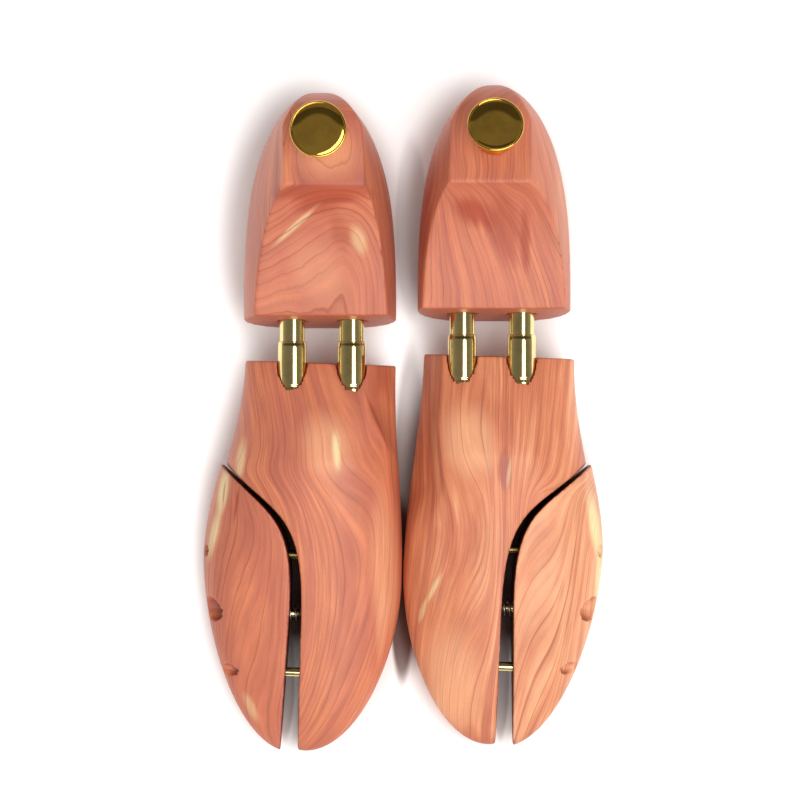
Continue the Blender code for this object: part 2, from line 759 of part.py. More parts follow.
def heel_section(side_name, d, wall=5, corner=5):
    """Closed section of the heel block as (x, z) points, right side up."""
    half = heel_half_width(d)
    closing = rounded(1 - d / BACK_ROUND, BACK_CURVE)
    widest = HEEL_WIDEST_LEVEL[side_name]
    curve = HEEL_WALL_CURVE[side_name]
    rise = (plateau_level(side_name, d) - widest) * closing
    sole = widest * (1 - closing)
    flat = min(PLATEAU_HALF / half, PLATEAU_MOST)
    dome = rise / (1 - flat ** curve) ** (1 / curve)
    base = min(HEEL_BASE_HALF, HEEL_BASE_SHARE * half)
    shift = PLATEAU_SHIFT * min(1.0, half / HEEL_HALF_WIDTH) * SIDES[side_name]
    rows = []
    for i in range(corner):
        angle = math.pi / 2 * i / corner
        rows.append((0.0, base + (half - base) * math.sin(angle),
                     widest - (widest - sole) * math.cos(angle)))
    for i in range(wall + 1):
        share = i / wall
        reach = half * (1 - (rise * share / dome) ** curve) ** (1 / curve)
        rows.append((-shift * share ** 2, reach, widest + rise * share))
    right = [(middle + reach, z) for middle, reach, z in rows]
    left = [(middle - reach, z) for middle, reach, z in reversed(rows)]
    return right + left


def heel_stations():
    """Stations from the back of the heel block to its front face."""
    back = [BACK_ROUND * (1 - math.cos(math.pi / 2 * i / 9)) for i in range(1, 10)]
    steps = 12
    rest = [BACK_ROUND + (HEEL_LENGTH - BACK_ROUND) * i / steps for i in range(1, steps + 1)]
    return [back[0] / 4] + back + rest


def heel_mesh(name, side_name):
    """Heel block before it is cut, with its front face leaning back at the top."""
    rings = []
    for d in heel_stations():
        front = d > HEEL_LENGTH - CLEARANCE
        ring = []
        for x, z in heel_section(side_name, d):
            lean = z * math.tan(FACE_LEAN) if front else 0.0
            ring.append((x + SIDES[side_name] * HEEL_OFFSET, HEEL_LENGTH - d + lean, z))
        rings.append(ring)
    return loft_mesh(name, rings)


def scoop_outline(side_name):
    """Concave cut in front of the ridge, as (y, z) points."""
    ridge = Vector((HEEL_LENGTH - RIDGE_AT[side_name], PLATEAU_LEVEL))
    steep = Vector((-math.cos(SCOOP_STEEPNESS), -math.sin(SCOOP_STEEPNESS)))
    front = Vector((-SCOOP_PAST_FRONT, SCOOP_FRONT_LEVEL))
    pull = (ridge.y - front.y) * SCOOP_PULL / math.sin(SCOOP_STEEPNESS)
    bend = ridge + steep * pull
    points = [ridge - steep * OVERRUN]
    steps = 10
    for i in range(steps + 1):
        t = i / steps
        points.append(ridge * (1 - t) ** 2 + bend * 2 * t * (1 - t) + front * t ** 2)
    above = PLATEAU_LEVEL + 2 * OVERRUN
    return points + [Vector((-OVERRUN, SCOOP_FRONT_LEVEL)), Vector((-OVERRUN, above))]


def make_heel(prefix, side_name, heel):
    """Heel block with its scoop, tube holes and stud hole."""
    name = prefix + "_heel_block"
    block = add_mesh(name, heel_mesh(name, side_name), heel, "cedar")
    block.location = (0, 0, -TUBE_LEVEL)
    scoop = prism_mesh(name + "_scoop", scoop_outline(side_name), HEEL_HALF_WIDTH + OVERRUN)
    stand = Matrix(((0, 0, 1, 0), (1, 0, 0, 0), (0, 1, 0, -TUBE_LEVEL), (0, 0, 0, 1)))
    cut(block, add_cutter(name + "_scoop", scoop, heel, stand))
    lay = Matrix.Rotation(-math.pi / 2, 4, "X")
    mouth = OUTER_TUBE_RADIUS + CLEARANCE
    for number, x in enumerate((-TUBE_SPACING / 2, TUBE_SPACING / 2), 1):
        for radius, depth, word in ((mouth, HEEL_MOUTH_DEPTH, "mouth"),
                                    (HEEL_BORE, HEEL_BORE_DEPTH, "bore")):
            drill = rod_mesh(name + word, radius, depth + OVERRUN, TUBE_STEPS)
            place = Matrix.Translation((x, -OVERRUN, 0)) @ lay
            cut(block, add_cutter("%s_%s_%d" % (name, word, number), drill, heel, place))
    return block


def knob_profile():
    """Flat cap with a rolled rim, waisted neck and foot, hollow for the stud."""
    dish = KNOB_RADIUS - 2 * KNOB_RIM
    hole = STUD_RADIUS + CLEARANCE
    top = KNOB_HEIGHT
    points = [(0, top - KNOB_DISH / 2), (dish * KNOB_FLAT_SHARE, top - KNOB_DISH / 2),
              (dish, top - KNOB_DISH)]
    first = math.radians(150)
    last = math.radians(-90)
    for i in range(RIM_STEPS + 1):
        angle = first + (last - first) * i / RIM_STEPS
        points.append((KNOB_RADIUS - KNOB_RIM + KNOB_RIM * math.cos(angle),
                       top - KNOB_RIM + KNOB_RIM * math.sin(angle)))
    waist = top - KNOB_CAP
    drop = waist - KNOB_FOOT
    for i in range(7):
        share = i / 6
        cove = (dish - KNOB_NECK_RADIUS) * (1 - share) ** KNOB_COVE
        flare = (KNOB_FOOT_RADIUS - KNOB_NECK_RADIUS) * share ** KNOB_COVE
        level = waist - drop * share ** KNOB_COVE_SPREAD
        points.append((KNOB_NECK_RADIUS + cove + flare, level))
    points += [(KNOB_FOOT_RADIUS, 0), (hole, 0), (hole, STUD_IN_KNOB + CLEARANCE),
               (0, STUD_IN_KNOB + CLEARANCE)]
    return points


def make_knob(prefix, side_name, heel, block):
    """Knob on its stud, square to the plateau."""
    d = KNOB_AT[side_name]
    spot = (0, HEEL_LENGTH - d, plateau_level(side_name, d) - TUBE_LEVEL)
    seat = empty(prefix + "_knob_seat", heel, spot, tilt=-PLATEAU_TILT[side_name])
    knob = turned(prefix + "_knob", knob_profile(), seat, "brass", KNOB_STEPS)
    knob.location = (0, 0, CLEARANCE)
    length = STUD_IN_HEEL + STUD_IN_KNOB
    name = prefix + "_knob_stud"
    stud = add_mesh(name, rod_mesh(name, STUD_RADIUS, length, SMALL_STEPS), seat, "brass")
    stud.location = (0, 0, -STUD_IN_HEEL)
    drill = rod_mesh(name + "_hole", STUD_RADIUS + CLEARANCE, STUD_IN_HEEL + OVERRUN,
                     SMALL_STEPS)
    down = Matrix.Translation((0, 0, -STUD_IN_HEEL - CLEARANCE))
    cut(block, add_cutter(name + "_hole", drill, seat, down))


def make_tree(side_name, pair):
    """One complete shoe stretcher."""
    side = SIDES[side_name]
    prefix = side_name
    tree = empty(prefix + "_tree", pair, (side * TREE_OFFSET, side * STAGGER / 2, 0))
    forepart = empty(prefix + "_forepart_frame", tree, (0, -YAW_PIVOT, 0), -FOREPART_YAW)
    main = make_main(prefix + "_forepart_main", side_name, forepart)
    bore_forepart(prefix + "_forepart", main, tree)
    make_guides(prefix, side, forepart)
    pivot = (side * SWING_U, YAW_PIVOT - SWING_S, 0)
    swing = empty(prefix + "_wing_swing", forepart, pivot, side * WING_OPEN)
    make_wing(prefix + "_forepart_wing", side_name, swing)
    heel = empty(prefix + "_heel_slide", tree, (0, OPEN_GAP, TUBE_LEVEL))
    block = make_heel(prefix, side_name, heel)
    make_tubes(prefix, tree, heel)
    make_knob(prefix, side_name, heel, block)


def centre_pair(pair):
    """Put the origin at the middle of the pair's footprint, on the ground."""
    bpy.context.view_layer.update()
    graph = bpy.context.evaluated_depsgraph_get()
    corners = []
    for piece in PARTS.objects:
        if piece.type == "EMPTY":
            continue
        shape = piece.evaluated_get(graph).to_mesh()
        corners += [piece.matrix_world @ v.co for v in shape.vertices]
    low = [min(c[i] for c in corners) for i in range(3)]
    high = [max(c[i] for c in corners) for i in range(3)]
    pair.location = (-(low[0] + high[0]) / 2, -(low[1] + high[1]) / 2, -low[2])
    bpy.context.view_layer.update()


clear_scene()
PARTS = new_collection("shoe_stretcher_pair")
CUTTERS = new_collection("cutters")
PAIR = empty("pair", None)
for tree_side in SIDES:
    make_tree(tree_side, PAIR)
centre_pair(PAIR)
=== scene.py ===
"""Looks of a pair of split-toe cedar shoe stretchers with brass tubes and knobs."""
from math import copysign, cos, hypot, pi, radians, sin, tan

import bmesh
import bpy
import numpy
from mathutils import Matrix, Vector


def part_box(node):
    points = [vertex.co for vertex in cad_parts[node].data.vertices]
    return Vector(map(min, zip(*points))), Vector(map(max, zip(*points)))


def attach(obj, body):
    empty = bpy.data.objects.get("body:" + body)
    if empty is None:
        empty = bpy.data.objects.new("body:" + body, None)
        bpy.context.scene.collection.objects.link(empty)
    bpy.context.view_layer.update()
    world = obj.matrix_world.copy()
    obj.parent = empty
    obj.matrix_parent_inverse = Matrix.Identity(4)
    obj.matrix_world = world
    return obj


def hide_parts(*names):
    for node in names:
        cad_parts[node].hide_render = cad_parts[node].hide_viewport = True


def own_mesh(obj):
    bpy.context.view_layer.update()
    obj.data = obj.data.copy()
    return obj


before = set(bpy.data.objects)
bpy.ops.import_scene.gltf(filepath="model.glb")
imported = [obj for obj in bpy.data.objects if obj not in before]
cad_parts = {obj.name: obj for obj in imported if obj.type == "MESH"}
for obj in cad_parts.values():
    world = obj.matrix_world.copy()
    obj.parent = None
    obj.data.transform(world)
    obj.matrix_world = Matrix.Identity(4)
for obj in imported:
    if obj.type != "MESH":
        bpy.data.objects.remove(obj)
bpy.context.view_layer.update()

# The two trees: +1 has its outer side towards +X
SIDES = {"left": 1, "right": -1}

# Placing, in metres, as the solids have it
FOREPART_YAW = radians(2.0)
YAW_PIVOT = 0.040
TUBE_SPACING = 0.0254
TUBE_OFFSETS = (-TUBE_SPACING / 2, TUBE_SPACING / 2)
TUBE_LEVEL = 0.0280
OPEN_GAP = 0.0155
OUTER_TUBE_DEPTH = 0.0520

# Forepart outline and heights
FOREPART_LENGTH = 0.1690
BALL_LATERAL = 0.0466
TOE_APEX = 0.0035
REAR_TOP = 0.0295
INSTEP_TOP = 0.0455
INSTEP_AT = 0.042
TOE_TOP = 0.0185
TIP_LEVEL = 0.0085
TOE_ROUND = 0.028
TOE_CURVE = (2.4, 2.2)
TOE_LAST = radians(88)
CREST_CURVE = 1.35
EDGE_LEVEL = 0.0140
SOLE_ROUND = 0.013
SOLE_ROUND_MOST = 0.3
ARCH_RISE = 0.0030
ARCH_END = 0.070
TOE_SPRING = 0.0025
TOE_SPRING_FROM = 0.125
CREST_SHIFT = -0.004
REAR_SQUARENESS = 3.4
INSTEP_SQUARENESS = 2.15
SQUARE_UNTIL = 0.040
FACET_WIDTH = {"left": (0.0080, 0.0137), "right": (0.0118, 0.0)}
FACET_TURN = {"left": (0.0300, 0.0560), "right": (0.0185, 0.0410)}
FACET_FADE = 0.020

# Outer and inner edge: width at the rear, at the ball, where that is, toe's middle, curve
LATERAL = (0.0348, BALL_LATERAL, 0.083, TOE_APEX, (1.6, 1.8))
MEDIAL = (0.0305, 0.0363, 0.094, -TOE_APEX, (1.8, 1.9))

# Saw cut, swing and guides
KERF = 0.0005
CUT_ENTRY_AT = 0.0453
CUT_ENTRY_ANGLE = radians(48)
CUT_ENTRY_REACH = 0.031
CUT_STRAIGHT_AT = 0.1095
CUT_STRAIGHT_REACH = 0.0455
CUT_OFFSET = 0.0067
WING_OPEN = radians(2.4)
SWING_U = 0.024
SWING_S = -0.001
PIN_RADIUS = 0.0020
PIN_HOLE_RADIUS = 0.0025
PIN_FIT = 0.0003
PIN_LEVEL = 0.0200
PIN_SPACING = 0.0254
PIN_DEPTH = 0.018
PIN_ROUND = 0.0005
SCREW_AT = 0.1085
PINS = (("rear", SCREW_AT - PIN_SPACING), ("front", SCREW_AT + PIN_SPACING))
SCREW_DEPTH = 0.016
SCREW_RADIUS = 0.00175
SCREW_HEAD_RADIUS = 0.0045
SCREW_HEAD_HEIGHT = 0.0026
SCREW_EDGE = 0.0007
SCREW_TIP = 0.003
SCREW_SLOT_WIDTH = 0.0010
SCREW_SLOT_DEPTH = 0.0011
SCREW_HOLE_RADIUS = 0.0024
COUNTERBORE_RADIUS = 0.0052
COUNTERBORE_FLOOR = 0.019
SPRING_POCKET_RADIUS = 0.0042
SPRING_POCKET_DEPTH = 0.0055
WING_SPRING_RADIUS = 0.0036
WING_SPRING_WIRE = 0.0009
WING_SPRING_CURLS = 6

# Tubes
INNER_TUBE_RADIUS = 0.0055
INNER_TUBE_WALL = 0.0008
OUTER_TUBE_RADIUS = 0.00625
OUTER_TUBE_WALL = 0.00045
OUTER_TUBE_PROUD = 0.0090
MOUTH_TAPER = 0.00224
TUBE_EDGE = 0.0005
LIP_WIDTH = 0.0015
LIP_END = 0.0022
STOP_DEPTH = 0.0200
STOP_WIDTH = 0.0016
TUBE_FIT = 0.0003
STOP_SLIP = 0.0001
TUBE_FLOOR = 0.0008
TUBE_SPRING_WIRE = 0.0010
TUBE_SPRING_CURLS = 12

# Heel block
HEEL_LENGTH = 0.0998
HEEL_HALF_WIDTH = 0.0327
HEEL_OFFSET = 0.0007
HEEL_CURVE = (3.15, 1.9)
HEEL_WIDEST_LEVEL = {"left": 0.0380, "right": 0.0300}
HEEL_WALL_CURVE = {"left": 1.60, "right": 1.43}
HEEL_BASE_HALF = 0.0100
HEEL_BASE_MOST = 0.35
PLATEAU_LEVEL = 0.0740
PLATEAU_HALF = 0.0166
PLATEAU_MOST = 0.78
PLATEAU_SHIFT = 0.0031
PLATEAU_TILT = {"left": radians(16), "right": radians(2.3)}
BACK_ROUND = 0.015
BACK_CURVE = (2.2, 2.2)
BACK_START = 0.00002
RIDGE_AT = {"left": 0.0434, "right": 0.0418}
SCOOP_FRONT_AT = -0.001
SCOOP_FRONT_LEVEL = 0.0488
SCOOP_STEEPNESS = radians(57)
SCOOP_PULL = 0.78
FACE_LEAN = radians(5)
HEEL_BORE_DEPTH = 0.0420
HEEL_MOUTH_DEPTH = 0.0200

# Knob
KNOB_AT = {"left": 0.0250, "right": 0.0205}
KNOB_RADIUS = 0.0117
KNOB_RIM = 0.00055
KNOB_HEIGHT = 0.0165
KNOB_DOME = 0.0004
KNOB_DOME_CURVE = 6
KNOB_CAP = 0.0024
KNOB_NECK_RADIUS = 0.0058
KNOB_NECK_CURVE = 1.5
KNOB_FOOT_RADIUS = 0.0077
KNOB_COVE = 4
KNOB_FOOT = 0.0016
KNOB_FOOT_EDGE = 0.0004
STUD_RADIUS = 0.0020
STUD_IN_KNOB = 0.0070
STUD_IN_HEEL = 0.0180

# How far a saw, drill or scoop runs past the wood that it cuts
OVERRUN = 0.020

# How near the saw cut, and how level, a wall gets painted shade, fully and at all
SAWN_CORE = 0.0009
SAWN_REACH = 0.0014
LEVEL_CORE = 0.25
LEVEL_REACH = 0.75

# Short ring beside each bend of a tube that keeps its long wall's shading true
TRUE_EDGE = 0.0003

# Fineness of the meshes
WOOD_GRAIN_SIZE = 0.00068
WOOD_EASING = 4
ROUND_STEPS = 72
SMALL_STEPS = 40
KNOB_STEPS = 96
CURL_STEPS = 32
SHARP = 40
KNOB_SHARP = 50

# Camera straight above the pair
CAMERA_AT = (-0.00142, 0.00936, 1.400)
FOCAL_PIXELS = 3190
PHOTO_PIXELS = 800
SENSOR = 36.0
CAMERA_RANGE = (0.05, 20)


def shifted(x, y, z):
    """Matrix that moves a shape."""
    return Matrix.Translation((x, y, z))


def tree_origin(name):
    """Middle of the forepart's rear face on the ground, read from the tubes."""
    low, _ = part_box(name + "_outer_tube_1")
    _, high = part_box(name + "_outer_tube_2")
    middle = (low.x + high.x) / 2
    return Vector((middle, low.y + OUTER_TUBE_DEPTH, (low.z + high.z) / 2 - TUBE_LEVEL))


def forepart_frame(name):
    """Frame of a forepart, turned slightly about its pivot."""
    place = Matrix.Translation(tree_origin(name) - Vector((0, YAW_PIVOT, 0)))
    return place @ Matrix.Rotation(-FOREPART_YAW, 4, "Z")


def swing_frame(name):
    """Frame of a wing about its swing axis, open as in the photograph."""
    side = SIDES[name]
    pivot = shifted(side * SWING_U, YAW_PIVOT - SWING_S, 0)
    return forepart_frame(name) @ pivot @ Matrix.Rotation(side * WING_OPEN, 4, "Z")


def guide_frame(name, u, s):
    """Frame of a guide that starts at u, at a station of the main piece."""
    return forepart_frame(name) @ across(SIDES[name], u, YAW_PIVOT - s, PIN_LEVEL)


def heel_frame(name):
    """Frame of a heel block at the level of its tubes."""
    return Matrix.Translation(tree_origin(name) + Vector((0, OPEN_GAP, TUBE_LEVEL)))


def lying(x, y, z):
    """Matrix that lays a +Z shape along +Y."""
    return shifted(x, y, z) @ Matrix.Rotation(-pi / 2, 4, "X")


def across(side, u, y, level):
    """Matrix that lays a +Z shape along the outer direction, starting at u."""
    lay = Matrix.Rotation(side * pi / 2, 4, "Y")
    return shifted(side * u, y, level) @ lay


def to_mesh(shape, name, matrix):
    """Close a bmesh into a mesh with its place in its points."""
    bmesh.ops.remove_doubles(shape, verts=shape.verts, dist=1e-7)
    bmesh.ops.transform(shape, matrix=matrix, verts=shape.verts)
    bmesh.ops.recalc_face_normals(shape, faces=shape.faces)
    mesh = bpy.data.meshes.new(name)
    shape.to_mesh(mesh)
    shape.free()
    return mesh


def new_object(name, mesh):
    """Link an object that stays at the origin."""
    made = bpy.data.objects.new(name, mesh)
    bpy.context.scene.collection.objects.link(made)
    return made


def chain(shape, points, closed=False):
    """Points joined by edges, as the start of a spin or an extrusion."""
    corners = [shape.verts.new(point) for point in points]
    edges = [shape.edges.new(pair) for pair in zip(corners, corners[1:])]
    if closed:
        edges.append(shape.edges.new((corners[-1], corners[0])))
    return corners, edges


def of_kind(grown, kind):
    """Points or edges that an extrusion made."""
    return [item for item in grown["geom"] if isinstance(item, kind)]


def lofted(name, rings, matrix):
    """Skin a row of rings by extruding one to the next, and close both ends."""
    shape = bmesh.new()
    corners, edges = chain(shape, rings[0], closed=True)
    shape.faces.new(corners)
    for ring in rings[1:]:
        grown = bmesh.ops.extrude_edge_only(shape, edges=edges)
        edges = [edge for edge in of_kind(grown, bmesh.types.BMEdge) if edge.is_boundary]
        for corner, point in zip(of_kind(grown, bmesh.types.BMVert), ring):
            corner.co = point
    bmesh.ops.holes_fill(shape, edges=edges)
    return to_mesh(shape, name, matrix)


def spun(name, profile, matrix, steps=ROUND_STEPS):
    """Turn a profile of (radius, height) points about Z."""
    shape = bmesh.new()
    corners, edges = chain(shape, [(r, 0, z) for r, z in profile])
    bmesh.ops.spin(shape, geom=corners + edges, cent=(0, 0, 0), axis=(0, 0, 1),
                   angle=2 * pi, steps=steps, use_merge=True)
    return to_mesh(shape, name, matrix)


def rod(name, radius, length, matrix, steps=ROUND_STEPS):
    """Plain cylinder from the origin along +Z, as a drill."""
    shape = bmesh.new()
    bmesh.ops.create_cone(shape, cap_ends=True, segments=steps, radius1=radius,
                          radius2=radius, depth=length)
    bmesh.ops.translate(shape, verts=shape.verts, vec=(0, 0, length / 2))
    return to_mesh(shape, name, matrix)


def prism(name, outline, low, high, matrix):
    """Flat outline in XY, extruded from one height to another."""
    shape = bmesh.new()
    corners, _ = chain(shape, [(x, y, low) for x, y in outline], closed=True)
    face = shape.faces.new(corners)
    grown = bmesh.ops.extrude_face_region(shape, geom=[face])
    bmesh.ops.translate(shape, verts=of_kind(grown, bmesh.types.BMVert),
                        vec=(0, 0, high - low))
    return to_mesh(shape, name, matrix)


def evaluated(piece):
    """Mesh of an object with its modifiers applied."""
    graph = bpy.context.evaluated_depsgraph_get()
    return bpy.data.meshes.new_from_object(piece.evaluated_get(graph))


def boolean(piece, mesh, operation="DIFFERENCE"):
    """Cut a piece with a mesh, or keep only what lies inside it, and return the tool."""
    tool = new_object(mesh.name, mesh)
    step = piece.modifiers.new(mesh.name, "BOOLEAN")
    step.operation = operation
    step.solver = "EXACT"
    step.object = tool
    return tool


def bake(piece, tools):
    """Keep a piece's mesh as its modifiers leave it, and drop its tools."""
    finished = evaluated(piece)
    piece.modifiers.clear()
    piece.data = finished
    finished.name = piece.name
    for tool in tools:
        bpy.data.objects.remove(tool)


def worked(name, mesh, cuts, kept=None):
    """Blank of wood after sawing and drilling, with its edges eased by sanding."""
    piece = new_object(name, mesh)
    tools = [boolean(piece, cutter) for cutter in cuts]
    if kept:
        tools.append(boolean(piece, kept, "INTERSECT"))
    sanding = piece.modifiers.new("sanding", "REMESH")
    sanding.mode = "VOXEL"
    sanding.voxel_size = WOOD_GRAIN_SIZE
    easing = piece.modifiers.new("easing", "SMOOTH")
    easing.factor = 0.5
    easing.iterations = WOOD_EASING
    bake(piece, tools)
    return piece


def clamped(value):
    """Value kept between 0 and 1."""
    return min(1.0, max(0.0, value))


def shares(steps):
    """Even shares from 0 to 1."""
    return [i / steps for i in range(steps + 1)]


def ease(start, end, share):
    """Smooth step from start to end."""
    return start + (end - start) * (1 - cos(pi * share)) / 2


def rounded(share, curve):
    """Fall from 1 to 0 along a superellipse as share goes from 0 to 1."""
    along, across_curve = curve
    return max(0.0, 1 - max(0.0, share) ** along) ** (1 / across_curve)


def power(value, exponent):
    """Power that keeps the sign."""
    return copysign(abs(value) ** exponent, value)


def edge_reach(s, rear, ball, ball_at, apex, curve):
    """Distance of one edge of the forepart from the tube mid-line, wing closed."""
    if s < ball_at:
        return ease(rear, ball, s / ball_at)
    share = (s - ball_at) / (FOREPART_LENGTH - ball_at)
    return apex + (ball - apex) * rounded(share, curve)


def toe_closing(s):
    """Share of the height that is left as the toe rounds off."""
    start = FOREPART_LENGTH - TOE_ROUND
    return 1.0 if s < start else rounded((s - start) / TOE_ROUND, TOE_CURVE)


def top_level(s):
    """Height of the crest: a ramp from the rear face, the instep and the long fall."""
    if s < INSTEP_AT:
        return REAR_TOP + (INSTEP_TOP - REAR_TOP) * (1 - (1 - s / INSTEP_AT) ** CREST_CURVE)
    share = (s - INSTEP_AT) / (FOREPART_LENGTH - INSTEP_AT)
    level = INSTEP_TOP - (INSTEP_TOP - TOE_TOP) * share ** CREST_CURVE
    return TIP_LEVEL + (level - TIP_LEVEL) * toe_closing(s)


def sole_level(s):
    """Height of the sole: raised at the arch, flat at the ball, sprung at the toe."""
    if s < ARCH_END:
        return ARCH_RISE * (1 - s / ARCH_END) ** 2
    if s < TOE_SPRING_FROM:
        return 0.0
    share = (s - TOE_SPRING_FROM) / (FOREPART_LENGTH - TOE_SPRING_FROM)
    return TIP_LEVEL + (TOE_SPRING * share ** 2 - TIP_LEVEL) * toe_closing(s)


def facet(name, s):
    """Width of the flat facet on the inner side of the instep, and how flat it is."""
    rear, front = FACET_TURN[name]
    rear_width, front_width = FACET_WIDTH[name]
    share = clamped((s - rear) / (front - rear))
    fade = clamped((s - front) / FACET_FADE)
    return rear_width + (front_width - rear_width) * share, ease(1.0, 0.0, fade)


def forepart_section(name, s, upper=72, corner=9, bottom=12):
    """Closed section of the forepart as (u, z) points, from the outer edge over the top."""
    outer = edge_reach(s, *LATERAL)
    inner = -edge_reach(s, *MEDIAL)
    top = top_level(s)
    sole = sole_level(s)
    edge = TIP_LEVEL + (EDGE_LEVEL - TIP_LEVEL) * toe_closing(s)
    crest = (outer + inner) / 2 + CREST_SHIFT * toe_closing(s)
    square = INSTEP_SQUARENESS
    if s < SQUARE_UNTIL:
        square = ease(REAR_SQUARENESS, INSTEP_SQUARENESS, s / SQUARE_UNTIL)
    width, flatness = facet(name, s)
    cosine = max(0.0, 1 - width / (crest - inner)) ** (square / 2)
    shoulder = (top - edge) * (1 - cosine ** 2) ** (1 / square)
    points = []
    for i in range(upper + 1):
        angle = pi * i / upper
        reach = outer - crest if angle < pi / 2 else crest - inner
        u = crest + reach * power(cos(angle), 2 / square)
        rise = (top - edge) * power(sin(angle), 2 / square)
        if 0 < u - inner < width:
            rise += flatness * (shoulder * (u - inner) / width - rise)
        points.append((u, edge + rise))
    width = min(SOLE_ROUND, SOLE_ROUND_MOST * (outer - inner))
    turn = [pi / 2 * i / corner for i in range(corner + 1)]
    for angle in turn[1:]:
        points.append((inner + width * (1 - cos(angle)),
                       edge - (edge - sole) * sin(angle)))
    span = outer - inner - 2 * width
    for i in range(1, bottom):
        points.append((inner + width + span * i / bottom, sole))
    for angle in reversed(turn[1:]):
        points.append((outer - width * (1 - cos(angle)),
                       edge - (edge - sole) * sin(angle)))
    return points


def forepart_stations(body_steps=70, toe_steps=30):
    """Stations along s, closer together where the toe rounds off."""
    toe_start = FOREPART_LENGTH - TOE_ROUND
    body = [toe_start * i / body_steps for i in range(body_steps)]
    toe = [toe_start + TOE_ROUND * sin(TOE_LAST * i / toe_steps) for i in range(toe_steps + 1)]
    return body + toe


def forepart_blank(name, word, matrix):
    """Whole forepart before it is sawn."""
    rings = [
        [(SIDES[name] * u, YAW_PIVOT - s, z) for u, z in forepart_section(name, s)]
        for s in forepart_stations()
    ]
    return lofted(name + word, rings, matrix)


def cut_line(offset, steps=48):
    """Saw cut as (u, s) points from outside the outer edge to beyond the toe."""
    start = Vector((edge_reach(CUT_ENTRY_AT, *LATERAL), CUT_ENTRY_AT))
    heading = Vector((-sin(CUT_ENTRY_ANGLE), cos(CUT_ENTRY_ANGLE)))
    end = Vector((CUT_OFFSET, CUT_STRAIGHT_AT))
    first = start + heading * CUT_ENTRY_REACH
    second = end - Vector((0, CUT_STRAIGHT_REACH))
    centre = [start - heading * OVERRUN]
    for t in shares(steps):
        centre.append(start * (1 - t) ** 3 + first * 3 * t * (1 - t) ** 2
                      + second * 3 * t ** 2 * (1 - t) + end * t ** 3)
    centre.append(Vector((CUT_OFFSET, FOREPART_LENGTH + OVERRUN)))
    moved = []
    for i, point in enumerate(centre):
        before = centre[max(i - 1, 0)]
        after = centre[min(i + 1, len(centre) - 1)]
        along = (after - before).normalized()
        moved.append(point + Vector((along.y, -along.x)) * offset)
    return moved


def cut_u(s):
    """Place of the saw cut's mid-line at a station."""
    line = cut_line(0)
    for before, after in zip(line, line[1:]):
        if before.y <= s <= after.y:
            share = (s - before.y) / (after.y - before.y)
            return before.x + (after.x - before.x) * share
    return CUT_OFFSET


def wing_region(side, offset, name, matrix):
    """Everything on the wing's side of the saw cut, as a tall prism."""
    line = cut_line(offset)
    beyond = BALL_LATERAL + 2 * OVERRUN
    corners = [Vector((beyond, line[-1].y)), Vector((beyond, line[0].y))]
    outline = [(side * p.x, YAW_PIVOT - p.y) for p in line + corners]
    return prism(name, outline, -OVERRUN, INSTEP_TOP + OVERRUN, matrix)


def mark_painted_wall_shade(piece, name, matrix):
    """Note on each point how far it belongs to the sawn wall that gets painted shade."""
    back = matrix.inverted()
    line = cut_line(0)
    stations = numpy.array([point.y for point in line])
    middles = numpy.array([point.x for point in line])
    slopes = numpy.gradient(middles, stations)
    values = []
    for vertex in piece.data.vertices:
        spot = back @ vertex.co
        s = YAW_PIVOT - spot.y
        middle = numpy.interp(s, stations, middles)
        slope = numpy.interp(s, stations, slopes)
        away = abs(SIDES[name] * spot.x - middle) / hypot(1, slope)
        near = clamped((SAWN_REACH - away) / (SAWN_REACH - SAWN_CORE))
        level = abs(vertex.normal.z)
        values.append(near * clamped((LEVEL_REACH - level) / (LEVEL_REACH - LEVEL_CORE)))
    noted = piece.data.attributes.new("sawn", "FLOAT", "POINT")
    noted.data.foreach_set("value", values)


def dress(piece, finish):
    """Give a piece its only material."""
    piece.data.materials.clear()
    piece.data.materials.append(finish)


def settle(piece, finish, body, node, sharp=None):
    """Dress and smooth a new piece, tie it to its body, and hide the CAD node that it replaces."""
    dress(piece, finish)
    piece.data.shade_smooth()
    if sharp:
        piece.data.set_sharp_from_angle(angle=radians(sharp))
    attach(piece, body)
    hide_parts(node)


def make_forepart_main(name):
    """Main piece of a forepart: sawn, bored for its tubes, pins, screw and spring."""
    at = forepart_frame(name)
    origin = tree_origin(name)
    cuts = [wing_region(SIDES[name], -KERF / 2, name + "_saw", at)]
    reach = OUTER_TUBE_DEPTH + TUBE_FIT
    for number, x in enumerate(TUBE_OFFSETS, 1):
        lay = lying(origin.x + x, origin.y - reach, origin.z + TUBE_LEVEL)
        cuts.append(rod("%s_tube_bore_%d" % (name, number), OUTER_TUBE_RADIUS + TUBE_FIT,
                        reach + OVERRUN, lay))
    drills = [(word + "_pin", s, PIN_RADIUS + PIN_FIT, PIN_DEPTH + PIN_FIT) for word, s in PINS]
    drills += [("screw", SCREW_AT, SCREW_RADIUS + PIN_FIT, SCREW_DEPTH + PIN_FIT),
               ("pocket", SCREW_AT, SPRING_POCKET_RADIUS, SPRING_POCKET_DEPTH)]
    for word, s, radius, depth in drills:
        cuts.append(rod(name + "_" + word, radius, depth + OVERRUN,
                        guide_frame(name, cut_u(s) - depth, s), SMALL_STEPS))
    piece = worked(name + "_main_wood", forepart_blank(name, "_blank", at), cuts)
    mark_painted_wall_shade(piece, name, at)
    return piece


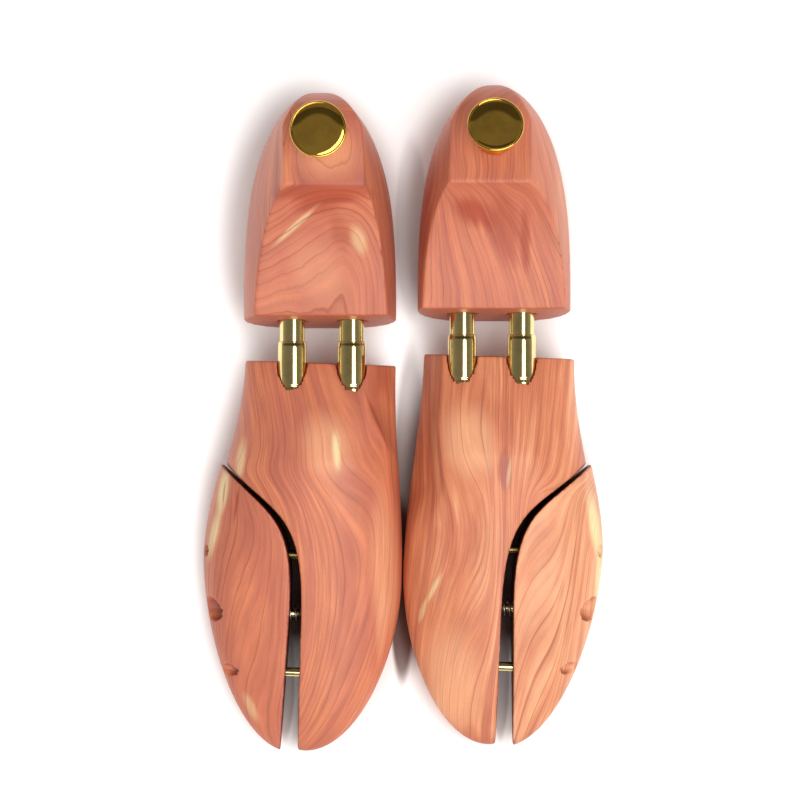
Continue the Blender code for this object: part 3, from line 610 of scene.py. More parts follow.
def make_forepart_wing(name):
    """Split-off wing, drilled square at half of its swing."""
    side = SIDES[name]
    swing = swing_frame(name)
    at = swing @ shifted(-side * SWING_U, SWING_S - YAW_PIVOT, 0)
    half = swing @ Matrix.Rotation(-side * WING_OPEN / 2, 4, "Z")
    kept = wing_region(side, KERF / 2, name + "_wing_saw", at)
    through = BALL_LATERAL + OVERRUN
    pocket_end = cut_u(SCREW_AT) + SPRING_POCKET_DEPTH
    drills = [("wing_" + word, half, 0.0, s, PIN_HOLE_RADIUS, through) for word, s in PINS]
    drills += [("wing_screw", half, 0.0, SCREW_AT, SCREW_HOLE_RADIUS, through),
               ("counterbore", swing, COUNTERBORE_FLOOR, SCREW_AT, COUNTERBORE_RADIUS, through),
               ("wing_pocket", swing, pocket_end - OVERRUN, SCREW_AT, SPRING_POCKET_RADIUS,
                OVERRUN)]
    cuts = []
    for word, base, u, s, radius, length in drills:
        lay = base @ across(side, u - SWING_U, SWING_S - s, PIN_LEVEL)
        cuts.append(rod(name + "_" + word, radius, length, lay, SMALL_STEPS))
    piece = worked(name + "_wing_wood", forepart_blank(name, "_wing_blank", at), cuts, kept)
    mark_painted_wall_shade(piece, name, at)
    return piece


def plateau_level(name, d):
    """Height of the top behind the ridge, tilted back from the ridge."""
    return PLATEAU_LEVEL - max(0.0, RIDGE_AT[name] - d) * tan(PLATEAU_TILT[name])


def heel_section(name, d, wall=18, corner=14):
    """Closed section of the heel block as (x, z) points."""
    half = HEEL_HALF_WIDTH * rounded(1 - d / HEEL_LENGTH, HEEL_CURVE)
    closing = rounded(1 - d / BACK_ROUND, BACK_CURVE)
    widest = HEEL_WIDEST_LEVEL[name]
    curve = HEEL_WALL_CURVE[name]
    rise = (plateau_level(name, d) - widest) * closing
    sole = widest * (1 - closing)
    flat = min(PLATEAU_HALF / half, PLATEAU_MOST)
    dome = rise / (1 - flat ** curve) ** (1 / curve)
    base = min(HEEL_BASE_HALF, HEEL_BASE_MOST * half)
    shift = PLATEAU_SHIFT * min(1.0, half / HEEL_HALF_WIDTH) * SIDES[name]
    rows = []
    for i in range(corner):
        angle = pi / 2 * i / corner
        rows.append((0.0, base + (half - base) * sin(angle),
                     widest - (widest - sole) * cos(angle)))
    for share in shares(wall):
        reach = half * (1 - (rise * share / dome) ** curve) ** (1 / curve)
        rows.append((-shift * share ** 2, reach, widest + rise * share))
    right = [(middle + reach, z) for middle, reach, z in rows]
    return right + [(middle - reach, z) for middle, reach, z in reversed(rows)]


def heel_blank(name, back_steps=30, steps=40):
    """Heel block before it is cut."""
    back = [BACK_ROUND * (1 - cos(pi / 2 * i / back_steps))
            for i in range(1, back_steps + 1)]
    rest = [BACK_ROUND + (HEEL_LENGTH - BACK_ROUND) * i / steps for i in range(1, steps + 1)]
    rings = [[(x + SIDES[name] * HEEL_OFFSET, HEEL_LENGTH - d, z - TUBE_LEVEL)
              for x, z in heel_section(name, d)] for d in [BACK_START] + back + rest]
    return lofted(name + "_heel_blank", rings, heel_frame(name))


def side_view_prism(name, word, outline):
    """Wide prism whose (y, z) outline is seen from the side of a heel block."""
    stand = Matrix(((0, 0, 1, 0), (1, 0, 0, 0), (0, 1, 0, -TUBE_LEVEL), (0, 0, 0, 1)))
    wide = HEEL_HALF_WIDTH + OVERRUN
    return prism(name + word, outline, -wide, wide, heel_frame(name) @ stand)


def face_cutter(name):
    """Cut that leans the front face back at the top."""
    slope = tan(FACE_LEAN)
    low = -OVERRUN
    high = PLATEAU_LEVEL + OVERRUN
    return side_view_prism(name, "_face", [(low, low), (slope * low, low),
                                           (slope * high, high), (low, high)])


def scoop_cutter(name, steps=40):
    """Concave cut in front of the ridge, as a wide prism."""
    ridge = Vector((HEEL_LENGTH - RIDGE_AT[name], PLATEAU_LEVEL))
    steep = Vector((-cos(SCOOP_STEEPNESS), -sin(SCOOP_STEEPNESS)))
    front = Vector((SCOOP_FRONT_AT, SCOOP_FRONT_LEVEL))
    bend = ridge + steep * ((ridge.y - front.y) * SCOOP_PULL / sin(SCOOP_STEEPNESS))
    points = [ridge - steep * OVERRUN]
    for t in shares(steps):
        points.append(ridge * (1 - t) ** 2 + bend * 2 * t * (1 - t) + front * t ** 2)
    above = PLATEAU_LEVEL + 2 * OVERRUN
    points += [Vector((-OVERRUN, SCOOP_FRONT_LEVEL)), Vector((-OVERRUN, above))]
    return side_view_prism(name, "_scoop", points)


def knob_seat(name):
    """Frame of the knob's foot, square to the plateau."""
    d = KNOB_AT[name]
    spot = shifted(0, HEEL_LENGTH - d, plateau_level(name, d) - TUBE_LEVEL)
    return heel_frame(name) @ spot @ Matrix.Rotation(-PLATEAU_TILT[name], 4, "X")


def make_heel(name):
    """Heel block with its scoop, tube holes and stud hole."""
    at = heel_frame(name)
    cuts = [scoop_cutter(name), face_cutter(name)]
    for number, x in enumerate(TUBE_OFFSETS, 1):
        for word, radius, depth in (("mouth", OUTER_TUBE_RADIUS + TUBE_FIT, HEEL_MOUTH_DEPTH),
                                    ("bore", INNER_TUBE_RADIUS + TUBE_FIT, HEEL_BORE_DEPTH)):
            cuts.append(rod("%s_heel_%s_%d" % (name, word, number), radius, depth + OVERRUN,
                            at @ lying(x, -OVERRUN, 0)))
    down = shifted(0, 0, -STUD_IN_HEEL - PIN_FIT)
    cuts.append(rod(name + "_stud_hole", STUD_RADIUS + PIN_FIT, STUD_IN_HEEL + OVERRUN,
                    knob_seat(name) @ down, SMALL_STEPS))
    return worked(name + "_heel_wood", heel_blank(name), cuts)


def arc(centre, radius, start, end, steps):
    """Points of an arc in a profile, with its angles in degrees."""
    points = []
    for i in range(steps + 1):
        angle = radians(start + (end - start) * i / steps)
        points.append((centre[0] + radius * cos(angle), centre[1] + radius * sin(angle)))
    return points


def turned(node, profile, matrix, steps=ROUND_STEPS):
    """Round brass piece for a CAD node."""
    return new_object(node + "_brass", spun(node + "_brass", profile, matrix, steps))


def make_knob(name, steps=24):
    """Polished knob: mirror cap inside a rolled rim, waisted neck and foot."""
    top = KNOB_HEIGHT
    dish = KNOB_RADIUS - 2 * KNOB_RIM
    profile = [(dish * share, top - KNOB_DOME * share ** KNOB_DOME_CURVE)
               for share in shares(steps)]
    profile += arc((KNOB_RADIUS - KNOB_RIM, top - KNOB_RIM), KNOB_RIM, 170, -90, 20)
    waist = top - KNOB_CAP
    drop = waist - KNOB_FOOT
    for share in shares(steps):
        cove = (dish - KNOB_NECK_RADIUS) * (1 - share) ** KNOB_COVE
        flare = (KNOB_FOOT_RADIUS - KNOB_NECK_RADIUS) * share ** KNOB_COVE
        profile.append((KNOB_NECK_RADIUS + cove + flare, waist - drop * share ** KNOB_NECK_CURVE))
    hole = STUD_RADIUS + PIN_FIT
    depth = STUD_IN_KNOB + PIN_FIT
    profile += arc((KNOB_FOOT_RADIUS - KNOB_FOOT_EDGE, KNOB_FOOT_EDGE), KNOB_FOOT_EDGE, 0, -90, 6)
    profile += [(hole, 0), (hole, depth), (0, depth)]
    knob = turned(name + "_knob", profile, knob_seat(name) @ shifted(0, 0, PIN_FIT), KNOB_STEPS)
    settle(knob, KNOB_BRASS, name + "_heel", name + "_knob", KNOB_SHARP)


def outer_tube_profile(steps=12):
    """Outer tube with its rolled-in mouth and the groove that stops the inner one."""
    length = OUTER_TUBE_PROUD + OUTER_TUBE_DEPTH
    bore = OUTER_TUBE_RADIUS - OUTER_TUBE_WALL
    mouth = INNER_TUBE_RADIUS + STOP_SLIP
    stop = length - STOP_DEPTH
    shoulder = [(share, length - MOUTH_TAPER * share) for share in shares(steps)]
    dips = [(share, (bore - mouth) * sin(pi * share)) for share in shares(steps)]
    outside = [(ease(mouth + OUTER_TUBE_WALL, OUTER_TUBE_RADIUS, share), z)
               for share, z in shoulder[1:]]
    outside += [(OUTER_TUBE_RADIUS, outside[-1][1] - TRUE_EDGE),
                (OUTER_TUBE_RADIUS, stop + STOP_WIDTH + TRUE_EDGE)]
    outside += [(OUTER_TUBE_RADIUS - dip, stop + STOP_WIDTH * (1 - share)) for share, dip in dips]
    outside.append((OUTER_TUBE_RADIUS, stop - TRUE_EDGE))
    inside = [(bore - dip, stop + STOP_WIDTH * share) for share, dip in dips]
    inside += [(ease(mouth, bore, share), z) for share, z in reversed(shoulder)]
    lip = arc((mouth + OUTER_TUBE_WALL / 2, length), OUTER_TUBE_WALL / 2, 180, 0, 8)
    base = arc((OUTER_TUBE_RADIUS - TUBE_EDGE, TUBE_EDGE), TUBE_EDGE, 0, -90, 6)
    return lip + outside + base + [(0, 0), (0, TUBE_FLOOR), (bore, TUBE_FLOOR)] + inside


def inner_tube_profile(length):
    """Inner tube from its heel end to its rolled lip at z = 0."""
    bore = INNER_TUBE_RADIUS - INNER_TUBE_WALL
    lip = OUTER_TUBE_RADIUS - OUTER_TUBE_WALL - STOP_SLIP
    return [(bore, length), (INNER_TUBE_RADIUS, length),
            (INNER_TUBE_RADIUS, LIP_END + TRUE_EDGE), (INNER_TUBE_RADIUS, LIP_END),
            (lip, LIP_WIDTH), (lip, 0), (bore, 0), (bore, length)]


def coil(node, radius, wire, length, curls, matrix):
    """Compression spring along +Z, wound at an even pitch, with capped wire ends."""
    name = node + "_steel"
    line = bpy.data.curves.new(name, "CURVE")
    line.dimensions = "3D"
    line.bevel_depth = wire / 2
    line.bevel_resolution = 3
    line.use_fill_caps = True
    spline = line.splines.new("POLY")
    steps = curls * CURL_STEPS
    spline.points.add(steps)
    for i, place in enumerate(spline.points):
        angle = 2 * pi * i / CURL_STEPS
        place.co = (radius * cos(angle), radius * sin(angle),
                    wire / 2 + (length - wire) * (i / steps), 1)
    holder = new_object(name + "_line", line)
    mesh = evaluated(holder)
    bpy.data.objects.remove(holder)
    shape = bmesh.new()
    shape.from_mesh(mesh)
    spring = new_object(name, to_mesh(shape, name, matrix))
    settle(spring, SPRING_STEEL, "foreparts", node)
    return spring


def make_tubes(name):
    """Both telescopes: outer tube, inner tube and spring."""
    origin = tree_origin(name)
    floor_y = origin.y - OUTER_TUBE_DEPTH
    lip_y = origin.y + OUTER_TUBE_PROUD - STOP_DEPTH - TUBE_FIT - STOP_WIDTH
    heel_end = origin.y + OPEN_GAP + HEEL_BORE_DEPTH - TUBE_FIT
    level = origin.z + TUBE_LEVEL
    start = floor_y + TUBE_FLOOR + TUBE_FIT
    length = lip_y - TUBE_FIT - start
    mean = OUTER_TUBE_RADIUS - OUTER_TUBE_WALL - TUBE_FIT - TUBE_SPRING_WIRE / 2
    parts = (("outer", outer_tube_profile(), floor_y, "foreparts"),
             ("inner", inner_tube_profile(heel_end - lip_y), lip_y, name + "_heel"))
    for number, offset in enumerate(TUBE_OFFSETS, 1):
        x = origin.x + offset
        for word, profile, y, body in parts:
            node = "%s_%s_tube_%d" % (name, word, number)
            tube = turned(node, profile, lying(x, y, level))
            settle(tube, TUBE_BRASS, body, node, SHARP)
        spring = coil("%s_tube_spring_%d" % (name, number), mean, TUBE_SPRING_WIRE, length,
                      TUBE_SPRING_CURLS, lying(x, start, level))
        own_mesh(spring)


def make_screw(name, length, place):
    """Slotted screw with a rounded head, tip at the start of its place."""
    node = name + "_wing_screw"
    top = length + SCREW_HEAD_HEIGHT
    profile = [(0, top)]
    profile += arc((SCREW_HEAD_RADIUS - SCREW_EDGE, top - SCREW_EDGE), SCREW_EDGE, 90, 0, 8)
    profile += [(SCREW_HEAD_RADIUS, length), (SCREW_RADIUS, length),
                (SCREW_RADIUS, SCREW_TIP), (0, 0)]
    screw = turned(node, profile, place, SMALL_STEPS)
    wide, long = SCREW_SLOT_WIDTH / 2, 1.5 * SCREW_HEAD_RADIUS
    slot = prism(node + "_slot", [(-wide, -long), (wide, -long), (wide, long), (-wide, long)],
                 -SCREW_SLOT_DEPTH, SCREW_SLOT_DEPTH, place @ shifted(0, 0, top))
    bake(screw, [boolean(screw, slot)])
    settle(screw, PIN_BRASS, "foreparts", node, SHARP)


def make_guides(name):
    """Guide pins, retaining screw and wing spring, all carried by the main piece."""
    for word, s in PINS:
        node = "%s_guide_pin_%s" % (name, word)
        low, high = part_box(node)
        length = (high.x - low.x - 2 * PIN_RADIUS * sin(FOREPART_YAW)) / cos(FOREPART_YAW)
        profile = [(0, 0)]
        profile += arc((PIN_RADIUS - PIN_ROUND, PIN_ROUND), PIN_ROUND, -90, 0, 6)
        profile += arc((PIN_RADIUS - PIN_ROUND, length - PIN_ROUND), PIN_ROUND, 0, 90, 6)
        profile.append((0, length))
        pin = turned(node, profile, guide_frame(name, cut_u(s) - PIN_DEPTH, s), SMALL_STEPS)
        # The rear pin gets the darker brass: painted shade, as it sits deep in the saw cut
        settle(pin, SHADED_PIN_BRASS if word == "rear" else PIN_BRASS, "foreparts", node, SHARP)
    opening = WING_OPEN * (SCREW_AT - SWING_S)
    middle = cut_u(SCREW_AT)
    start = middle - SCREW_DEPTH
    make_screw(name, COUNTERBORE_FLOOR + opening + PIN_FIT - start,
               guide_frame(name, start, SCREW_AT))
    start = middle - SPRING_POCKET_DEPTH + PIN_FIT
    length = middle + SPRING_POCKET_DEPTH + opening - PIN_FIT - start
    place = guide_frame(name, start, SCREW_AT)
    spring = coil(name + "_wing_spring", WING_SPRING_RADIUS - WING_SPRING_WIRE / 2,
                  WING_SPRING_WIRE, length, WING_SPRING_CURLS, place)
    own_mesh(spring)


def arithmetic(operation, swapped=False):
    """Method that puts a Math node between a signal and another value."""
    def apply(signal, other):
        parts = (other, signal) if swapped else (signal, other)
        return signal.finish.maths(operation, *parts)
    return apply


class Signal:
    """A shader value that can stand in Python arithmetic."""

    def __init__(self, finish, socket):
        self.finish = finish
        self.socket = socket

    __add__ = __radd__ = arithmetic("ADD")
    __sub__ = arithmetic("SUBTRACT")
    __mul__ = __rmul__ = arithmetic("MULTIPLY")
    __truediv__ = arithmetic("DIVIDE")
    __rtruediv__ = arithmetic("DIVIDE", swapped=True)
    __pow__ = arithmetic("POWER")


class Finish:
    """Node tree of a material or a world, with its nodes made by one method."""

    def __init__(self, owner):
        self.owner = owner
        self.owner.use_nodes = True
        self.nodes = owner.node_tree.nodes
        self.shader = self.nodes.get("Principled BSDF")

    def node(self, kind, settings=None, inputs=None, output=0):
        """Add a node, set it up, feed its sockets and return one output."""
        made = self.nodes.new("ShaderNode" + kind)
        for key, value in (settings or {}).items():
            setattr(made, key, value)
        for key, value in (inputs or {}).items():
            self.feed(made, key, value)
        return Signal(self, made.outputs[output])

    def feed(self, made, key, value):
        """Link a signal to a node's socket, or set the socket's own value."""
        socket = made.inputs[key]
        if isinstance(value, Signal):
            self.owner.node_tree.links.new(value.socket, socket)
        elif hasattr(value, "__len__") and len(value) == 3 and socket.type == "RGBA":
            socket.default_value = (*value, 1.0)
        else:
            socket.default_value = value

    def ramp(self, value, stops, tint=(1.0, 1.0, 1.0)):
        """Colour ramp through (position, level) stops."""
        made = self.node("ValToRGB", None, {0: value})
        elements = made.socket.node.color_ramp.elements
        while len(elements) < len(stops):
            elements.new(1.0)
        for element, (position, level) in zip(elements, stops):
            element.position = position
            element.color = (*(level * part for part in tint), 1.0)
        return made

    def place(self):
        """Object coordinates in metres."""
        return self.node("TexCoord", output="Object")

    def split(self, vector):
        """The three numbers of a vector."""
        first = self.node("SeparateXYZ", None, {0: vector})
        return [Signal(self, socket) for socket in first.socket.node.outputs]

    def joined(self, x, y, z):
        """A vector from three numbers."""
        return self.node("CombineXYZ", None, {0: x, 1: y, 2: z})

    def maths(self, operation, *parts):
        """One Math node."""
        return self.node("Math", {"operation": operation}, dict(enumerate(parts)))

    def vector(self, operation, *parts, output=0):
        """One Vector Math node."""
        return self.node("VectorMath", {"operation": operation}, dict(enumerate(parts)), output)

    def noise(self, vector, scale, detail, rough, output="Fac"):
        """Noise that varies over the three axes by their own frequencies."""
        return self.node("TexNoise", None, {"Vector": self.vector("MULTIPLY", vector, scale),
                                            "Scale": 1.0, "Detail": detail,
                                            "Roughness": rough}, output)

    def row(self, value, detail):
        """Noise along one number."""
        return self.node("TexNoise", {"noise_dimensions": "1D"},
                         {"W": value, "Scale": 1.0, "Detail": detail}, "Fac")

    def step(self, value, low, high):
        """Smooth step from 0 at low to 1 at high."""
        return self.node("MapRange", {"interpolation_type": "SMOOTHSTEP"},
                         {"Value": value, "From Min": low, "From Max": high})

    def blend(self, amount, first, second, kind="MIX"):
        """Mix two colours."""
        made = self.nodes.new("ShaderNodeMix")
        made.data_type = "RGBA"
        made.blend_type = kind
        for key, value in ((0, amount), (6, first), (7, second)):
            self.feed(made, key, value)
        return Signal(self, made.outputs[2])

    def surface(self, colour, rough, height, strength, distance):
        """Colour, roughness and relief of a material."""
        bump = self.node("Bump", None, {"Strength": strength, "Distance": distance,
                                        "Height": height}, "Normal")
        for key, value in (("Base Color", colour), ("Roughness", rough), ("Normal", bump)):
            self.feed(self.shader, key, value)
        return self.owner


# Colours of the wood, as linear values
PINK = (0.570, 0.165, 0.095)
ORANGE = (0.680, 0.222, 0.105)
# Pale wood; on the instep humps it also paints a sheen where the top faces the light
PALE = (0.830, 0.385, 0.205)
PURPLE = (0.470, 0.128, 0.092)
LATE = (0.300, 0.055, 0.026)
RED = (0.400, 0.062, 0.028)
SAP = (0.860, 0.690, 0.360)
END_GRAIN = (0.480, 0.105, 0.045)
# Painted shade for the deep, dark walls of the saw cut
SAWN_WALL_SHADE = (0.140, 0.020, 0.010)

# Waves per metre of the grain, across the rings, along the trunk and up
GRAIN = (1400, 42, 30)

# Noises: waves along the three axes, detail and roughness. Fibres and silk are counted in
# waves of the grain, the others per metre
FIBRES = ((1.0, 1.0, 1.0), 3.0, 0.62)
SILK = ((0.32, 0.6, 0.6), 2.0, 0.55)
FLECKS = ((3800, 170, 3800), 2.0, 0.6)
CLOUDS = ((50, 14, 50), 3.0, 0.6)
SMEARS = ((110, 110, 110), 3.0, 0.6)
SPECKS = ((2600, 2600, 2600), 1.0, 0.5)
DRAWN_LINES = ((900, 6000, 900), 2.0, 0.5)
WIRE_MARKS = ((5000, 5000, 5000), 2.0, 0.5)

# How far a seed shifts the noises of the wood and of the brass
WOOD_DRIFT = (0.37, 0.71, 0.53)
BRASS_DRIFT = (0.31, 0.57, 0.83)

# Years: how often per metre their width changes, by how many years, and the share and shift
# of the noise that makes bands of several years
UNEVEN_EVERY = 140
UNEVEN_YEARS = 3.0
BAND_SHARE = 0.34
BAND_SHIFT = 3.1

# Lines at the end of the years: how rare strong ones are, the faintest, and their colour
STRONG_RARE = 1.5
FAINTEST = 0.22
LATE_AMOUNT = 0.70

# Mood of the wood: parts of bands, clouds and silk, the middle of the tints, and where it
# turns orange, pale and, where clouds pass the bands, purple
MOOD_PARTS = (0.18, 0.42, 0.36)
MOOD_MIDDLE = 0.48
ORANGE_MOOD = (0.36, 0.60)
PALE_MOOD = (0.54, 0.80)
PURPLE_MOOD = (0.06, 0.30)
PURPLE_AMOUNT = 0.5

# Red ends: part of the clouds in how far a face turns to the end, and where it reddens
END_CLOUDS = 0.12
END_TURN = (0.56, 0.96)

# Painted shade on the saw cut's walls: where the fibres deepen it, how much, and the least of it
WALL_SHADE_FIBRES = (0.30, 0.70)
WALL_SHADE_PART = 0.15
LEAST_WALL_SHADE = 0.80

# Wood: parts of the noises in its brightness, roughness and relief, the least brightness and
# roughness, the relief's strength and depth, and the shine
SHADE_PARTS = (0.52, 0.40, 0.24)
LEAST_SHADE = 0.42
WOOD_ROUGH = (0.16, 0.05)
LEAST_ROUGH = 0.38
WOOD_RELIEF = (0.7, 0.4, -0.5)
WOOD_BUMP = (0.35, 0.00012)
WOOD_SPECULAR = 0.42

# Brass: where smears and pits set in, brightness of a smear, and as for the wood
SMEARED = (0.35, 0.70)
PITTED = (0.70, 0.80)
SMEAR_SHADE = 0.80
BRASS_ROUGH = (0.05, 0.10)
BRASS_RELIEF = (0.25, 0.8)
BRASS_BUMP = (0.10, 0.00003)

# Spring wire: where drawing marks set in, its colours, and its roughness
WIRE_MARKED = (0.3, 0.7)
WIRE_CLEAN = (0.60, 0.59, 0.57)
WIRE_DARK = (0.42, 0.41, 0.40)
WIRE_ROUGH = (0.18, 0.20)

# Marks: how far up and down they reach, how frayed they are, where they start to fade, and
# the parts of clouds, silk and fibres in their edges
MARK_DEPTH = 0.030
MARK_FRAY = 1.3
MARK_CORE = 0.30
FRAY_PARTS = (0.3, 0.4, 0.3)

# Darkness of a ring's line over one year, from its early to its late wood
YEAR = [(0.0, 0.05), (0.04, 0.0), (0.60, 0.04), (0.84, 0.24), (0.925, 1.0), (0.98, 0.9),
        (1.0, 0.05)]

# Wander of the rings along the trunk: a noise, and how far in metres it moves them
SWAY = 0.0022
WANDERS = [((26, 9, 26), 1.0, 0.4, SWAY), ((150, 40, 150), 2.0, 0.5, SWAY / 3)]

# Metres in the unit of the figures below
MM = 0.001


def weighed(fields, parts):
    """Sum of the fields, each times its part."""
    return sum(field * part for field, part in zip(fields, parts))


def mark_mask(finish, place, mark, fray):
    """Soft long patch, turned about the upright axis, with a frayed edge."""
    x, y, z, wide, long, turn = mark
    offset = finish.vector("SUBTRACT", place, (x * MM, y * MM, z * MM))
    cosine, sine = cos(radians(turn)), sin(radians(turn))
    wide, long = wide * MM, long * MM
    axes = ((cosine / wide, sine / wide, 0.0), (-sine / long, cosine / long, 0.0),
            (0.0, 0.0, 1 / MARK_DEPTH))
    parts = [finish.vector("DOT_PRODUCT", offset, axis, output="Value") for axis in axes]
    reach = finish.vector("LENGTH", finish.joined(*parts), output="Value")
    return finish.step(reach + fray * MARK_FRAY - MARK_FRAY / 2, 1.0, MARK_CORE)


def ring_radius(finish, drift, place, pith, lean, swells):
    """Distance from the leaning pith line, bulged where the trunk had its swells."""
    bent = place
    for *noise, reach in WANDERS:
        wander = finish.noise(drift, *noise, "Color")
        bent = finish.vector("MULTIPLY_ADD", wander, (reach, 0.0, reach), bent)
    mean = sum(reach for *_, reach in WANDERS) / 2
    x, y, z = finish.split(bent)
    from_x = x - (y * lean[0] + (pith[0] * MM + mean))
    from_z = z - (y * lean[1] + (pith[1] * MM + mean))
    radius = (from_x * from_x + from_z * from_z) ** 0.5
    for mid_x, mid_y, wide, long, height in swells:
        far_x = (x - mid_x * MM) / (wide * MM)
        far_y = (y - mid_y * MM) / (long * MM)
        far = far_x * far_x + far_y * far_y + 1
        radius = radius + height * MM / (far * far)
    return bent, radius


def late_lines(finish, age, seed, strength):
    """Thin dark line at the end of each year, some years much fainter than others."""
    count = finish.maths("FLOOR", age)
    chance = finish.node("TexWhiteNoise", {"noise_dimensions": "1D"}, {"W": count + seed},
                         "Value")
    line = finish.split(finish.ramp(finish.maths("FRACT", age), YEAR))[0]
    return line * (chance ** STRONG_RARE * (1 - FAINTEST) + FAINTEST) * strength


def cedar(name, pith, lean, swells, ring, seed, marks, tint, strength=1.0, end_red=0.5):
    """Aromatic cedar: growth rings, fibres along them, sapwood, red heart, patches of figure with some
    painted sheen, and painted shade on the sawn walls.
    """
    finish = Finish(bpy.data.materials.new(name))
    place = finish.place()
    drift = finish.vector("ADD", place, tuple(seed * part for part in WOOD_DRIFT))
    bent, radius = ring_radius(finish, drift, place, pith, lean, swells)
    age = radius / (ring * MM) + finish.row(radius * UNEVEN_EVERY + seed, 1.0) * UNEVEN_YEARS
    late = late_lines(finish, age, seed, strength)
    _, along, up = finish.split(drift)
    grain = finish.joined(*(part * often for part, often in zip((radius, along, up), GRAIN)))
    fibres = finish.noise(grain, *FIBRES)
    silk = finish.noise(grain, *SILK)
    flecks = finish.noise(drift, *FLECKS)
    bands = finish.row(age * BAND_SHARE + seed * BAND_SHIFT, 2.0)
    clouds = finish.noise(drift, *CLOUDS)
    mood = weighed((bands, clouds, silk), MOOD_PARTS) + (tint - MOOD_MIDDLE)
    colour = finish.blend(finish.step(mood, *ORANGE_MOOD), PINK, ORANGE)
    fray = weighed((clouds, silk, fibres), FRAY_PARTS)
    layers = [(finish.step(mood, *PALE_MOOD), PALE),
              (finish.step(clouds - bands, *PURPLE_MOOD) * PURPLE_AMOUNT, PURPLE)]
    layers += [(mark_mask(finish, bent, mark, fray) * amount, shade)
               for *mark, shade, amount in marks]
    facing = finish.maths("ABSOLUTE", finish.split(finish.node("TexCoord", output="Normal"))[1])
    end_grain = finish.step(facing + clouds * END_CLOUDS, *END_TURN)
    # Painted shade on the walls of the saw cut, a little uneven along the fibres
    sawn = finish.node("Attribute", {"attribute_name": "sawn"}, output="Fac")
    wall_shade = finish.step(fibres, *WALL_SHADE_FIBRES) * WALL_SHADE_PART + LEAST_WALL_SHADE
    layers += [(end_grain * end_red, END_GRAIN), (late * LATE_AMOUNT, LATE),
               (sawn * wall_shade, SAWN_WALL_SHADE)]
    for amount, shade in layers:
        colour = finish.blend(amount, colour, shade)
    shade = weighed((fibres, silk, flecks), SHADE_PARTS) + LEAST_SHADE
    colour = finish.blend(1.0, colour, finish.joined(shade, shade, shade), "MULTIPLY")
    finish.feed(finish.shader, "Specular IOR Level", WOOD_SPECULAR)
    rough = weighed((fibres, late), WOOD_ROUGH) + LEAST_ROUGH
    return finish.surface(colour, rough, weighed((fibres, flecks, late), WOOD_RELIEF), *WOOD_BUMP)


def brass(name, colour, rough, seed):
    """Polished brass with fine draw lines, specks and a trace of handling."""
    finish = Finish(bpy.data.materials.new(name))
    drift = finish.vector("ADD", finish.place(), tuple(seed * part for part in BRASS_DRIFT))
    smears = finish.noise(drift, *SMEARS)
    pits = finish.step(finish.noise(drift, *SPECKS), *PITTED)
    lines = finish.noise(drift, *DRAWN_LINES)
    deep = tuple(part * SMEAR_SHADE for part in colour)
    tone = finish.blend(finish.step(smears, *SMEARED), colour, deep)
    finish.feed(finish.shader, "Metallic", 1.0)
    return finish.surface(tone, weighed((smears, pits), BRASS_ROUGH) + rough,
                          weighed((lines, pits), BRASS_RELIEF), *BRASS_BUMP)


def steel(name):
    """Bright spring wire with drawing marks."""
    finish = Finish(bpy.data.materials.new(name))
    marks = finish.noise(finish.place(), *WIRE_MARKS)
    tone = finish.blend(finish.step(marks, *WIRE_MARKED), WIRE_CLEAN, WIRE_DARK)
    marked, least = WIRE_ROUGH
    for key, value in (("Base Color", tone), ("Metallic", 1.0),
                       ("Roughness", marks * marked + least)):
        finish.feed(finish.shader, key, value)
    return finish.owner


# Floor colour, its added white, how far from the footprints in millimetres that fades in,
# and the share of an oval of shade that is fully dark
FLOOR_WHITE = (0.97, 0.965, 0.96)
FLOOR_GLOW = 0.38
SHADE_REACH = 13
SHADE_CORE = 0.75

# Ovals on the floor, in millimetres: middle and half size of what each tree covers
FOOTPRINTS = [(-41, -56, 42, 82), (-40, 80, 33, 56), (40, -56, 42, 82), (37, 82, 33, 56)]

# Deep shade inside the saw cuts and between the trees: oval, colour and amount
CUT_SHADE = (0.050, 0.012, 0.006)
TOE_SHADE = (0.230, 0.120, 0.105)
GAP_SHADE = (0.360, 0.290, 0.270)
TOUCH_SHADE = (0.110, 0.030, 0.016)
FLOOR_SHADES = [
    (-49, -50, 20, 56, CUT_SHADE, 0.95), (48, -50, 20, 56, CUT_SHADE, 0.95),
    (-52, -112, 5, 31, TOE_SHADE, 0.50), (42.5, -112, 4.5, 31, TOE_SHADE, 0.50),
    (3.5, -37, 9, 79, GAP_SHADE, 0.95), (3.5, 85, 8, 45, GAP_SHADE, 0.35),
    (-0.5, -75, 6, 45, TOUCH_SHADE, 0.90)]

# Softbox beside the pair, aimed at it
SOFTBOX_AT = Vector((0.40, -0.37, 1.30))
SOFTBOX_SIZE = (1.15, 0.98)
SOFTBOX_WATTS = 15.0
SOFTBOX_TINT = (1.0, 0.985, 0.965)

# Even light of the room, and the grey levels that the brass mirrors by height and depth
FILL_LIGHT = 0.60
FILL_TINT = (1.0, 0.99, 0.98)
ROOM_TINT = (1.0, 0.97, 0.92)
ROOM_HEIGHTS = [(0.0, 0.55), (0.20, 0.34), (0.50, 0.24), (0.80, 0.20), (1.0, 0.20)]
ROOM_DEPTHS = [(0.0, 1.0), (0.19, 1.0), (0.21, 0.35), (0.36, 0.30), (0.38, 0.9),
               (0.615, 0.9), (0.63, 0.30), (0.80, 0.30), (0.85, 1.0)]


def oval(finish, place, x, y, wide, long):
    """Distance from the middle of an oval on the floor, as a share of its half size."""
    offset = finish.vector("SUBTRACT", place, (x * MM, y * MM, 0.0))
    share = finish.vector("DIVIDE", offset, (wide * MM, long * MM, 1.0))
    return finish.vector("LENGTH", share, output="Value")


